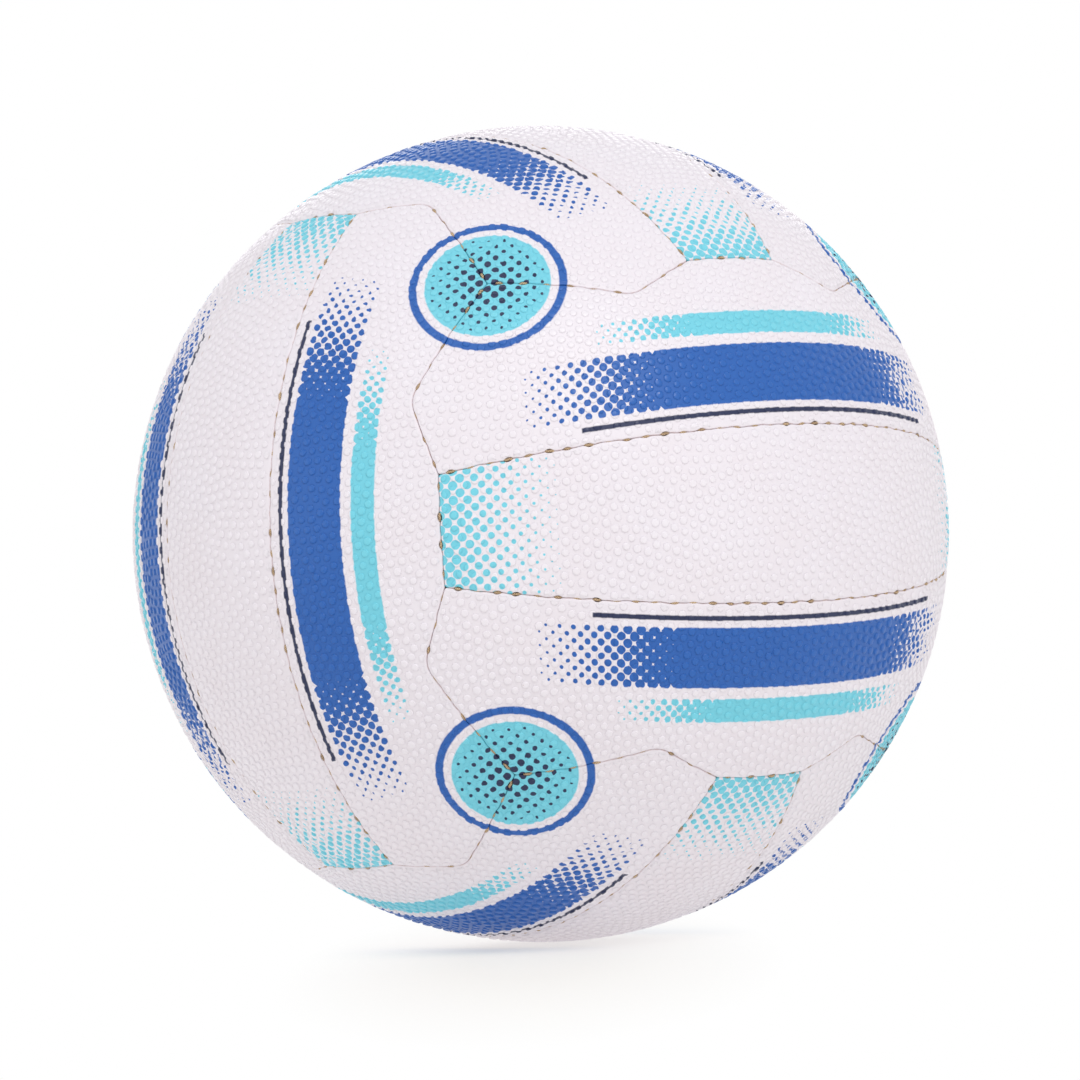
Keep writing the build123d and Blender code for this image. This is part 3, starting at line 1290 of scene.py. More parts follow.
    def blend(self, output: str, share: NodeSocket, first: Node, second: Node) -> None:
        """Mix two shaders by a share and put the mix out.

        Args:
            output: Name of the tree's output node.
            share: Share of the second shader.
            first: The shader at a share of 0.
            second: The shader at a share of 1.
        """
        made = self.node("ShaderNodeMixShader")
        self.feed(made, {0: share, 1: first.outputs[0], 2: second.outputs[0]})
        self.feed(self.tree.nodes[output], {0: made.outputs[0]})


def new_group(name: str, inputs: dict[str, str], outputs: dict[str, str]) -> tuple[NodeSheet, Node, Node]:
    """Make an empty shader node group.

    Args:
        name: Name of the group.
        inputs: Input names and their short socket types.
        outputs: Output names and their short socket types.

    Returns:
        The group's sheet, its input node and its output node.
    """
    tree = bpy.data.node_groups.new(name, "ShaderNodeTree")
    for side, sockets in (("INPUT", inputs), ("OUTPUT", outputs)):
        for key, kind in sockets.items():
            tree.interface.new_socket(key, in_out=side, socket_type=f"NodeSocket{kind}")
    sheet = NodeSheet(tree)
    return sheet, sheet.node("NodeGroupInput"), sheet.node("NodeGroupOutput")


def new_material(name: str) -> tuple[Material, NodeSheet, Node]:
    """Make a material with a Principled shader.

    Args:
        name: Name of the material.

    Returns:
        The material, its sheet and its Principled node.
    """
    material = bpy.data.materials.new(name)
    material.use_nodes = True
    return material, NodeSheet(material.node_tree), material.node_tree.nodes["Principled BSDF"]


@dataclass(frozen=True)
class PrintInks:
    """Ink colours of the cover."""

    white: Colour = ink(240, 235, 242)
    blue: Colour = ink(34, 98, 182)
    cyan: Colour = ink(120, 213, 232)
    navy: Colour = ink(32, 42, 80)


@dataclass
class PrintGroups:
    """Node groups that the cover's finishes share: dots, corner roundels and the rubber's skin, with its
    painted shade.

    Lengths of the print, and those from a seam, are millimetres.
    """

    radius: float
    field_reach: float = 21.5
    ring_reach: Span = (17.5, 19.5)
    disc_reach: float = 15.5
    dot_pitch: float = 2.7
    dot_reach: float = 14.4
    dot_fade: Span = (3.0, 15.0)
    dot_radii: Span = (1.0, 0.3)
    mottle_scale: float = 60.0
    mottle_detail: float = 3.0
    mottle_span: Span = (0.35, 0.7)
    mottle_tone: Colour = (0.99, 0.98, 0.975, 1.0)
    # The valleys between pebbles are a touch darker, which is painted shade, and a touch rougher.
    valley_top: float = 0.5
    valley_shade_tone: Colour = (0.985, 0.978, 0.98, 1.0)
    valley_roughness: float = 0.08
    dull_span: Span = (0.3, 0.7)
    roughness: Span = (0.29, 0.36)
    # In the seam's groove the tone darkens: partly dirt, partly painted shade.
    seam_dirt_and_shade_reach: float = 0.3
    seam_dirt_and_shade_span: Span = (0.35, 0.6)
    seam_dirt_and_shade_tone: Colour = (0.86, 0.75, 0.7, 1.0)
    speck_scale: float = 170.0
    speck_radius: float = 0.16 * MM
    speck_core: float = 0.5
    speck_chance: Span = (0.6, 0.9)
    speck_strength: float = 0.7
    speck_tone: Colour = (0.55, 0.42, 0.32, 1.0)
    crease_scale: float = 900.0
    crease_detail: float = 3.0
    crease_roughness: float = 0.6
    crease_reach: Span = (0.4, 3.0)
    crease_height: float = 0.6
    fine_scale: float = 2600.0
    fine_height: float = 0.07

    def __post_init__(self) -> None:
        """Build the groups."""
        self.dots = self.build_dots()
        self.roundel = self.build_roundel()
        self.rubber = self.build_rubber()

    def build_dots(self) -> NodeTree:
        """Build a slanted square grid of dots: the nearest dot's middle and the distance to it.

        Returns:
            The group.
        """
        sheet, given, result = new_group(
            "round_dots", {"Place": "Vector", "Pitch": "Float"}, {"Middle": "Vector", "Distance": "Float"}
        )
        x, y, _ = sheet.split(given.outputs["Place"])
        pitch = given.outputs["Pitch"]
        slants = []
        for sum_of in ("ADD", "SUBTRACT"):
            slant = sheet.times(sheet.math(sum_of, x, y), math.sqrt(0.5))
            cell = sheet.math("FLOOR", sheet.math("DIVIDE", slant, pitch))
            slants.append(sheet.times(sheet.add(cell, 0.5), pitch))
        middles = []
        for sum_of in ("ADD", "SUBTRACT"):
            middles.append(sheet.times(sheet.math(sum_of, *slants), math.sqrt(0.5)))
        middle = sheet.combine(*middles)
        away = sheet.vector("DISTANCE", sheet.combine(x, y), middle)
        sheet.feed(result, {"Middle": middle, "Distance": away})
        return sheet.tree

    def build_roundel(self) -> NodeTree:
        """Build the roundel round each of the eight corners where three groups meet.

        Returns:
            The group.
        """
        outputs = dict.fromkeys(("Field", "Disc", "Ring", "Dots"), "Float")
        sheet, given, result = new_group("corner_roundel", {"Position": "Vector"}, outputs)
        outward = sheet.vector("NORMALIZE", sheet.vector("ABSOLUTE", given.outputs["Position"]))
        cosine = sheet.vector("DOT_PRODUCT", outward, tuple(Vector((1, 1, 1)).normalized()))
        turn = sheet.math("ARCCOSINE", sheet.math("MINIMUM", cosine, 1.0))
        reach = sheet.times(turn, self.radius / MM)
        flat = []
        for axis in (Vector((1, -1, 0)), Vector((1, 1, -2))):
            side = sheet.vector("DOT_PRODUCT", outward, tuple(axis.normalized()))
            flat.append(sheet.times(side, self.radius / MM))
        dots = sheet.group(self.dots, Place=sheet.combine(*flat), Pitch=self.dot_pitch)
        middle_reach = sheet.vector("LENGTH", dots.outputs["Middle"])
        size = sheet.ramp(middle_reach, *self.dot_fade, *self.dot_radii)
        masks = {
            "Field": sheet.band(reach, FROM_MIDDLE, self.field_reach),
            "Disc": sheet.band(reach, FROM_MIDDLE, self.disc_reach),
            "Ring": sheet.band(reach, *self.ring_reach),
            "Dots": sheet.times(sheet.dot(size, dots), sheet.band(middle_reach, FROM_MIDDLE, self.dot_reach)),
        }
        sheet.feed(result, masks)
        return sheet.tree

    def build_rubber(self) -> NodeTree:
        """Build the rubber's skin: faint mottling, specks, dirt and painted shade in the seam grooves,
        painted shade in the valleys between pebbles, and fine creases.

        Returns:
            The group.
        """
        sheet, given, result = new_group(
            "rubber_skin",
            {"Position": "Vector", "Grain": "Float", "Edge": "Float"},
            {"Tone": "Color", "Roughness": "Float", "Height": "Float"},
        )
        place, edge = given.outputs["Position"], given.outputs["Edge"]
        mottle = sheet.noise(place, self.mottle_scale, self.mottle_detail)
        fine = sheet.noise(place, self.fine_scale)
        crease = sheet.noise(place, self.crease_scale, self.crease_detail, self.crease_roughness)
        # Painted shade: the tone darkens where the grain is low, in the valleys between pebbles.
        valley = sheet.ramp(given.outputs["Grain"], 0.0, self.valley_top, 1.0, 0.0)
        tone = sheet.mix(valley, WHITE, self.valley_shade_tone)
        tone = sheet.mix(sheet.ramp(mottle, *self.mottle_span), tone, self.mottle_tone, "MULTIPLY")
        # Partly dirt, partly painted shade: darker within the groove beside the seam, broken up by the crease
        # noise.
        near_seam = sheet.ramp(edge, 0.0, self.seam_dirt_and_shade_reach, 1.0, 0.0)
        seam_dirt_and_shade = sheet.times(near_seam, sheet.ramp(crease, *self.seam_dirt_and_shade_span))
        tone = sheet.mix(seam_dirt_and_shade, tone, self.seam_dirt_and_shade_tone, "MULTIPLY")
        cells = sheet.node("ShaderNodeTexVoronoi")
        sheet.feed(cells, {"Vector": place, "Scale": self.speck_scale})
        chance, _, _ = sheet.split(cells.outputs["Color"])
        reach = self.speck_radius * self.speck_scale
        speck = sheet.ramp(cells.outputs["Distance"], reach * self.speck_core, reach, 1.0, 0.0)
        speck = sheet.times(speck, sheet.ramp(chance, *self.speck_chance, 0.0, self.speck_strength))
        tone = sheet.mix(speck, tone, self.speck_tone, "MULTIPLY")
        dull = sheet.ramp(mottle, *self.dull_span, *self.roughness)
        rough = sheet.add(dull, sheet.times(valley, self.valley_roughness))
        creased = sheet.times(crease, sheet.ramp(edge, *self.crease_reach, self.crease_height, 0.0))
        height = sheet.add(creased, sheet.times(fine, self.fine_height))
        sheet.feed(result, {"Tone": tone, "Roughness": rough, "Height": height})
        return sheet.tree


@dataclass(frozen=True)
class HalftoneStripe:
    """A printed stripe along a strip that is solid in part and breaks up into dots.

    Lengths are millimetres. Rows of dots lie along the strip, counted from its seam or its middle.
    """

    pitch: float
    rows: tuple[int, int]
    fade: Span
    dot_radii: Span
    solid_reach: float
    shown_reach: Span

    def mask(self, sheet: NodeSheet, groups: PrintGroups, place: NodeSocket) -> NodeSocket:
        """Give 1 where the stripe is printed.

        Args:
            sheet: The material's sheet.
            groups: The shared node groups.
            place: Place on the strip.

        Returns:
            The mask's socket.
        """
        row_step = self.pitch * math.sqrt(0.5)
        width = ((self.rows[0] - 0.5) * row_step, (self.rows[1] + 0.5) * row_step)
        along, off, _ = sheet.split(place)
        dots = sheet.group(groups.dots, Place=place, Pitch=self.pitch)
        middle_along, middle_off, _ = sheet.split(dots.outputs["Middle"])
        middle_reach = sheet.math("ABSOLUTE", middle_along)
        size = sheet.ramp(middle_reach, *self.fade, *self.dot_radii)
        in_rows = sheet.band(middle_off, *width)
        kept = sheet.times(in_rows, sheet.band(middle_reach, *self.shown_reach))
        dotted = sheet.times(sheet.dot(size, dots), kept)
        solid = sheet.band(sheet.math("ABSOLUTE", along), FROM_MIDDLE, self.solid_reach)
        return sheet.times(sheet.math("MAXIMUM", dotted, solid), sheet.band(off, *width))


@dataclass(frozen=True)
class CoverFinish:
    """Printed rubber of one kind of strip. Lengths of the print are millimetres."""

    kind: StripKind
    inks: PrintInks = PrintInks()
    wide_stripe: HalftoneStripe = HalftoneStripe(
        pitch=2.4,
        rows=(4, 12),
        fade=(36.0, 72.0),
        dot_radii=(1.7, 0.25),
        solid_reach=36.0,
        shown_reach=(FROM_MIDDLE, 71.5),
    )
    narrow_stripe: HalftoneStripe = HalftoneStripe(
        pitch=2.2,
        rows=(16, 19),
        fade=(24.0, 52.0),
        dot_radii=(1.56, 0.2),
        solid_reach=24.0,
        shown_reach=(FROM_MIDDLE, 51.5),
    )
    end_dots: HalftoneStripe = HalftoneStripe(
        pitch=2.5,
        rows=(-10, 10),
        fade=(64.0, 92.0),
        dot_radii=(0.1, 1.25),
        solid_reach=-0.6,
        shown_reach=(64.0, 120.0),
    )
    line_off: Span = (3.0, 4.2)
    line_reach: float = 58.0
    ragged_scale: float = 700.0
    print_ragged: float = 0.22
    gloss: float = 0.45
    bump_height: float = 0.06 * MM
    bump_strength: float = 0.6

    def build(self, groups: PrintGroups) -> Material:
        """Build the material.

        Args:
            groups: The shared node groups.

        Returns:
            The material.
        """
        material, sheet, shader = new_material(f"{self.kind.value}_strip_rubber")
        position = sheet.place()
        ragged = sheet.noise(position, self.ragged_scale, output="Color")
        shake = sheet.vector("SUBTRACT", ragged, (0.5, 0.5, 0.5))
        drift = sheet.vector("SCALE", shake, scale=self.print_ragged)
        colour = self.strip_print(sheet, groups, sheet.vector("ADD", sheet.attribute(PLACE_ATTRIBUTE), drift))
        moved = sheet.vector("SCALE", shake, scale=self.print_ragged * MM)
        roundel = sheet.group(groups.roundel, Position=sheet.vector("ADD", position, moved))
        inks = self.inks
        layers = {"Field": inks.white, "Ring": inks.blue, "Disc": inks.cyan, "Dots": inks.navy}
        for layer, paint in layers.items():
            colour = sheet.mix(roundel.outputs[layer], colour, paint)
        grain, edge, _ = sheet.split(sheet.attribute(SKIN_ATTRIBUTE))
        skin = sheet.group(groups.rubber, Position=position, Grain=grain, Edge=edge)
        # The skin's tone carries the painted shade in the pebble valleys and in the seam grooves.
        toned = sheet.mix(1.0, colour, skin.outputs["Tone"], "MULTIPLY")
        sheet.feed(shader, {"Base Color": toned, "Roughness": skin.outputs["Roughness"]})
        sheet.feed(shader, {"Specular IOR Level": self.gloss})
        sheet.bump(shader, skin.outputs["Height"], self.bump_height, self.bump_strength)
        return material

    def strip_print(self, sheet: NodeSheet, groups: PrintGroups, place: NodeSocket) -> NodeSocket:
        """Print the strip's own stripes and dots.

        Args:
            sheet: The material's sheet.
            groups: The shared node groups.
            place: Place on the strip, in millimetres.

        Returns:
            The printed colour.
        """
        inks = self.inks
        if self.kind is StripKind.MIDDLE:
            return sheet.mix(self.end_dots.mask(sheet, groups, place), inks.white, inks.cyan)
        along, off, _ = sheet.split(place)
        reach = sheet.math("ABSOLUTE", along)
        colour = sheet.mix(self.wide_stripe.mask(sheet, groups, place), inks.white, inks.blue)
        thin = sheet.times(sheet.band(off, *self.line_off), sheet.band(reach, FROM_MIDDLE, self.line_reach))
        colour = sheet.mix(thin, colour, inks.navy)
        return sheet.mix(self.narrow_stripe.mask(sheet, groups, place), colour, inks.cyan)


@dataclass(frozen=True)
class ThreadFinish:
    """Waxed tan sewing thread with a twist, darker in the grooves between its strands, which is painted
    shade.
    """

    # Colour on the strands' crowns, and the painted shade in the grooves between them.
    light: Colour = ink(234, 204, 164)
    dark: Colour = ink(126, 97, 68)
    strands: int = 3
    turns_per_mm: float = 0.9
    wax_scale: float = 420.0
    wax_span: Span = (0.3, 0.7)
    wax_tone: Span = (0.45, 1.0)
    roughness: Span = (0.75, 0.5)
    bump_height: float = 0.08 * MM

    def build(self) -> Material:
        """Build the material.

        Returns:
            The material.
        """
        material, sheet, shader = new_material("waxed_thread")
        length, cosine, sine = sheet.split(sheet.attribute(LAY_ATTRIBUTE))
        angle = sheet.math("ARCTAN2", sine, cosine)
        twist = sheet.add(sheet.times(length, math.tau * self.turns_per_mm), angle)
        strand = sheet.math("ABSOLUTE", sheet.math("SINE", sheet.times(twist, self.strands / 2)))
        wax = sheet.noise(sheet.place(), self.wax_scale)
        # Painted shade: the colour follows the strands' height and is dark in the grooves between them, with
        # the wax's own variation on top.
        tone = sheet.times(strand, sheet.ramp(wax, *self.wax_span, *self.wax_tone))
        rough = sheet.ramp(strand, 0.0, 1.0, *self.roughness)
        sheet.feed(shader, {"Base Color": sheet.mix(tone, self.dark, self.light), "Roughness": rough})
        sheet.bump(shader, strand, self.bump_height)
        return material


@dataclass(frozen=True)
class ClothFinish:
    """Woven cloth of the linings and the valve patch, soaked with glue."""

    name: str
    warp: Colour
    weft: Colour
    thread_pitch: float = 0.6 * MM
    glue: Colour = ink(196, 176, 128)
    cross_span: Span = (-1.5, 1.5)
    glue_scale: float = 90.0
    glue_detail: float = 3.0
    glue_span: Span = (0.5, 0.75)
    glue_share: float = 0.35
    dull_span: Span = (0.3, 0.7)
    roughness: Span = (0.95, 0.6)
    bump_height: float = 0.1 * MM

    def build(self) -> Material:
        """Build the material.

        Returns:
            The material.
        """
        material, sheet, shader = new_material(self.name)
        position = sheet.place()
        turns = [sheet.times(axis, math.tau / self.thread_pitch) for axis in sheet.split(position)]
        waves = [sheet.math("SINE", turn) for turn in turns]
        weave = sheet.times(sheet.times(waves[0], waves[1]), waves[2])
        crossing = sheet.add(sheet.add(waves[0], waves[1]), waves[2])
        cross = sheet.ramp(crossing, *self.cross_span)
        glue = sheet.noise(position, self.glue_scale, self.glue_detail)
        colour = sheet.mix(cross, self.warp, self.weft)
        colour = sheet.mix(sheet.ramp(glue, *self.glue_span, 0.0, self.glue_share), colour, self.glue)
        rough = sheet.ramp(glue, *self.dull_span, *self.roughness)
        sheet.feed(shader, {"Base Color": colour, "Roughness": rough})
        sheet.bump(shader, sheet.add(weave, cross), self.bump_height)
        return material


@dataclass(frozen=True)
class RubberFinish:
    """Plain moulded rubber of the bladder and the valve."""

    name: str
    colour: Colour
    bloom: Colour
    roughness: float
    speckle: float
    dust_detail: float = 4.0
    dust_roughness: float = 0.6
    bloom_span: Span = (0.45, 0.75)
    dull_span: Span = (0.3, 0.7)
    fine_share: float = 12.0
    smoother: float = 0.06
    rougher: float = 0.1
    bump_height: float = 0.04 * MM
    bump_strength: float = 0.5

    def build(self) -> Material:
        """Build the material.

        Returns:
            The material.
        """
        material, sheet, shader = new_material(self.name)
        position = sheet.place()
        dust = sheet.noise(position, self.speckle, self.dust_detail, self.dust_roughness)
        fine = sheet.noise(position, self.speckle * self.fine_share)
        colour = sheet.mix(sheet.ramp(dust, *self.bloom_span), self.colour, self.bloom)
        dull = (self.roughness - self.smoother, self.roughness + self.rougher)
        rough = sheet.ramp(dust, *self.dull_span, *dull)
        sheet.feed(shader, {"Base Color": colour, "Roughness": rough})
        sheet.bump(shader, fine, self.bump_height, self.bump_strength)
        return material


@dataclass
class Cover:
    """The eighteen strips of the cover."""

    plan: SeamPlan
    valve_hole_radius: float = 3.36 * MM

    def build(self, groups: PrintGroups) -> list[Object]:
        """Build and dress every strip.

        Args:
            groups: The shared node groups of the finishes.

        Returns:
            The strips' objects.
        """
        materials = {kind: CoverFinish(kind).build(groups) for kind in StripKind}
        shapes = {
            "outer_strip": CoverStrip(self.plan, StripKind.OUTER),
            "middle_strip": CoverStrip(self.plan, StripKind.MIDDLE),
            "valve_strip": CoverStrip(self.plan, StripKind.MIDDLE, self.valve_hole_radius),
        }
        meshes = []
        for name, strip in shapes.items():
            meshes.append(strip.build(name))
            meshes[-1].materials.append(materials[strip.kind])
        outer, middle, holed = meshes
        strips = []
        for face in FACES:
            for side, half_turn in zip(face.outer_sides, (False, True)):
                name = f"{face.name}_{side}"
                strips.append(place_piece(outer, face.turn(half_turn), name, "cover", "panel"))
            mesh = holed if face.name == VALVE_FACE else middle
            strips.append(place_piece(mesh, face.turn(), f"{face.name}_middle", "cover", "panel"))
        for mesh in meshes:
            bpy.data.meshes.remove(mesh)
        return strips


@dataclass
class Stitching:
    """The eighteen threads of the seams."""

    plan: SeamPlan

    def build(self) -> list[Object]:
        """Build and dress every thread.

        Returns:
            The threads' objects.
        """
        material = ThreadFinish().build()
        plan = self.plan
        strip_corners = [plan.junction(-1), plan.junction()]
        seam = SeamStitching(plan, strip_corners, [plan.strip_run()]).build("strip_seam")
        end = SeamStitching(plan, plan.group_end(), plan.end_runs()).build("end_seam")
        both = bpy.data.meshes.new("both_seams")
        both_sides = [seam, seam.copy()]
        both_sides[1].transform(Matrix.Rotation(math.pi, 4, "Z"))
        join_meshes(both, both_sides)
        for mesh in (both, end):
            mesh.materials.append(material)
        threads = []
        for face in FACES:
            threads.append(place_piece(both, face.turn(), face.name, "thread", "seam_thread"))
            for neighbour, half_turn in zip(face.end_neighbours, (False, True)):
                name = f"{face.name}_{neighbour}"
                threads.append(place_piece(end, face.turn(half_turn), name, "thread", "seam_thread"))
        for mesh in (both, end, *both_sides):
            bpy.data.meshes.remove(mesh)
        return threads


def join_meshes(target: Mesh, sources: list[Mesh]) -> None:
    """Put several thread meshes into one, with their lay.

    Args:
        target: The empty mesh that takes them.
        sources: The meshes to join.
    """
    points, faces, lays = [], [], []
    for mesh in sources:
        first = len(points)
        points += [tuple(vertex.co) for vertex in mesh.vertices]
        faces += [[first + place for place in polygon.vertices] for polygon in mesh.polygons]
        lays += [tuple(item.vector) for item in mesh.attributes[LAY_ATTRIBUTE].data]
    target.from_pydata(points, [], faces)
    write_vectors(target, LAY_ATTRIBUTE, np.array(lays))
    target.shade_smooth()


def stand_for(piece: Object, node: str) -> None:
    """Let a piece stand for a node of the frame.

    Args:
        piece: The piece.
        node: Name of the node that it replaces.
    """
    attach(piece, BODY)
    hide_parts(node)


def place_piece(mesh: Mesh, turn: Matrix, name: str, slot: str, node_suffix: str) -> Object:
    """Copy a mesh to its place on the ball, as a piece that stands for a node of the frame.

    Args:
        mesh: The mesh in its face's frame.
        turn: Rotation to its place.
        name: Place name, which the piece and the node share.
        slot: Name of the record's material slot, which starts the piece's name.
        node_suffix: What the node's name adds to the place name.

    Returns:
        The piece.
    """
    copy = mesh.copy()
    copy.name = f"{slot}_{name}"
    copy.transform(turn)
    piece = bpy.data.objects.new(f"{slot}_{name}", copy)
    bpy.context.scene.collection.objects.link(piece)
    stand_for(piece, f"{name}_{node_suffix}")
    return piece


@dataclass
class LinedBladder:
    """The cloth linings, the valve patch and the bladder under the cover, which keep their solids."""

    nodes: dict[str, Object]
    lining: ClothFinish = ClothFinish("lining_weave", ink(214, 206, 190), ink(188, 178, 160))
    patch: ClothFinish = ClothFinish(
        "patch_weave", ink(90, 92, 100), ink(62, 64, 72), thread_pitch=0.8 * MM
    )
    bladder: RubberFinish = RubberFinish(
        "butyl_bladder", ink(38, 38, 40), ink(74, 72, 70), roughness=0.5, speckle=140.0
    )

    def dress(self) -> None:
        """Give each of them its finish."""
        lining = self.lining.build()
        finishes = {"valve_patch": self.patch.build(), "bladder": self.bladder.build()}
        for name, node in self.nodes.items():
            material = lining if name.endswith("_lining") else finishes.get(name)
            if material is not None:
                node.data.materials.clear()
                node.data.materials.append(material)


@dataclass
class AirValve:
    """The air valve: a boot with a rounded mouth and the soft core that closes it.

    Profiles are pairs of a radius about the valve's axis and a height along it from the ball's centre.
    """

    needle_radius: float
    needle_depth: float = 15.0 * MM
    funnel: float = 0.6 * MM
    mouth_radius: float = 3.3 * MM
    lip: float = 0.22 * MM
    tube_radius: float = 5.5 * MM
    tube_length: float = 20.0 * MM
    flange_thickness: float = 1.0 * MM
    floor: float = 1.5 * MM
    air_hole_radius: float = 1.0 * MM
    core_radius: float = 2.2 * MM
    clearance: float = 0.05 * MM
    collar_rise: float = 6.0 * MM
    collar_height: float = 2.5 * MM
    turn_steps: int = 48
    rounding: float = 0.12 * MM
    rounding_steps: int = 3
    sharp_angle: float = math.radians(35)
    boot_rubber: RubberFinish = RubberFinish(
        "valve_boot_rubber", ink(214, 210, 206), ink(196, 190, 186), roughness=0.5, speckle=300.0
    )
    core_rubber: RubberFinish = RubberFinish(
        "valve_core_rubber", ink(52, 52, 56), ink(80, 78, 78), roughness=0.42, speckle=400.0
    )

    def __post_init__(self) -> None:
        """Take the valve's place and overall sizes from the frame."""
        self.boot_low, self.boot_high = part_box("valve_boot")
        self.core_low, self.core_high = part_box("valve_core")
        self.collar_low = self.core_low.y + self.collar_rise
        self.collar_high = self.collar_low + self.collar_height

    def boot_profile(self) -> Profile:
        """Give the boot's profile: tube, flange under the bladder, mouth and bore.

        Returns:
            Its corners, in order.
        """
        bottom, top = self.boot_low.y, self.boot_high.y
        flange_top = bottom + self.tube_length
        flange_bottom = flange_top - self.flange_thickness
        flange = self.boot_high.x
        bore = self.core_radius + self.clearance
        collar = self.core_high.x + self.clearance
        lip = self.lip
        return [
            (self.air_hole_radius, bottom),
            (self.tube_radius, bottom),
            (self.tube_radius, math.sqrt(flange_bottom**2 - self.tube_radius**2)),
            (flange, math.sqrt(flange_bottom**2 - flange**2)),
            (flange, math.sqrt(flange_top**2 - flange**2)),
            (self.mouth_radius, math.sqrt(flange_top**2 - self.mouth_radius**2)),
            (self.mouth_radius, top - lip),
            (self.mouth_radius - lip, top),
            (bore + lip, top),
            (bore, top - lip),
            (bore, self.collar_high + self.clearance),
            (collar, self.collar_high + self.clearance),
            (collar, self.collar_low - self.clearance),
            (bore, self.collar_low - self.clearance),
            (bore, bottom + self.floor),
            (self.air_hole_radius, bottom + self.floor),
        ]

    def core_profile(self) -> Profile:
        """Give the core's profile: plug, collar, dished face, funnel and blind needle hole.

        Returns:
            Its corners, in order.
        """
        bottom, top = self.core_low.y, self.core_high.y
        collar = self.core_high.x
        lip = self.lip
        return [
            (0.0, bottom),
            (self.core_radius, bottom),
            (self.core_radius, self.collar_low),
            (collar, self.collar_low),
            (collar, self.collar_high),
            (self.core_radius, self.collar_high),
            (self.core_radius, top - lip),
            (self.core_radius - lip, top),
            (self.needle_radius + self.funnel, top),
            (self.needle_radius, top - self.funnel),
            (self.needle_radius, top - self.needle_depth),
            (0.0, top - self.needle_depth),
        ]

    def turned(self, name: str, profile: Profile) -> Object:
        """Turn a profile round the valve's axis and round its edges.

        Args:
            name: Name of the piece.
            profile: Its corners, in order.

        Returns:
            The piece.
        """
        bpy.ops.object.select_all(action="DESELECT")
        bpy.ops.mesh.primitive_circle_add(vertices=len(profile), radius=self.mouth_radius)
        piece = bpy.context.object
        piece.name = piece.data.name = name
        for vertex, (radius, height) in zip(piece.data.vertices, profile):
            vertex.co = (radius, height, 0.0)
        bpy.ops.object.mode_set(mode="EDIT")
        bpy.ops.mesh.select_all(action="SELECT")
        bpy.ops.mesh.spin(steps=self.turn_steps, angle=math.tau, center=(0, 0, 0), axis=(0, 1, 0))
        bpy.ops.mesh.select_all(action="SELECT")
        bpy.ops.mesh.remove_doubles(threshold=MERGE_DISTANCE)
        bpy.ops.mesh.delete_loose()
        bpy.ops.mesh.select_all(action="SELECT")
        bpy.ops.mesh.normals_make_consistent(inside=False)
        bpy.ops.object.mode_set(mode="OBJECT")
        bpy.ops.object.modifier_add(type="BEVEL")
        bevel = piece.modifiers[-1]
        bevel.width = self.rounding
        bevel.segments = self.rounding_steps
        bevel.limit_method = "ANGLE"
        bevel.angle_limit = self.sharp_angle
        bpy.ops.object.modifier_apply(modifier=bevel.name)
        bpy.ops.object.shade_smooth_by_angle(angle=self.sharp_angle)
        return piece

    def build(self) -> list[Object]:
        """Model the boot and the core and give them their finishes.

        Returns:
            The two pieces.
        """
        shapes = {
            "valve_boot": (self.boot_profile(), self.boot_rubber),
            "valve_core": (self.core_profile(), self.core_rubber),
        }
        pieces = []
        for node, (profile, finish) in shapes.items():
            pieces.append(self.turned(f"{node}_moulding", profile))
            pieces[-1].data.materials.append(finish.build())
            stand_for(pieces[-1], node)
        return pieces


@dataclass(frozen=True)
class StudioLamp:
    """A soft square lamp that looks at the ball's middle."""

    name: str
    azimuth: float
    elevation: float
    distance: float
    size: float
    power: float

    def place(self) -> None:
        """Add the lamp to the scene."""
        out = view_direction(self.azimuth, self.elevation)
        bpy.ops.object.light_add(type="AREA", location=out * self.distance)
        lamp = bpy.context.object
        lamp.name = self.name
        lamp.rotation_euler = out.to_track_quat("Z", "Y").to_euler()
        lamp.data.size = self.size
        lamp.data.energy = self.power


def view_direction(azimuth: float, elevation: float) -> Vector:
    """Give the direction from the ball to a viewer, from angles in degrees."""
    turn, rise = math.radians(azimuth), math.radians(elevation)
    return Vector((math.sin(turn) * math.cos(rise), -math.cos(turn) * math.cos(rise), math.sin(rise)))


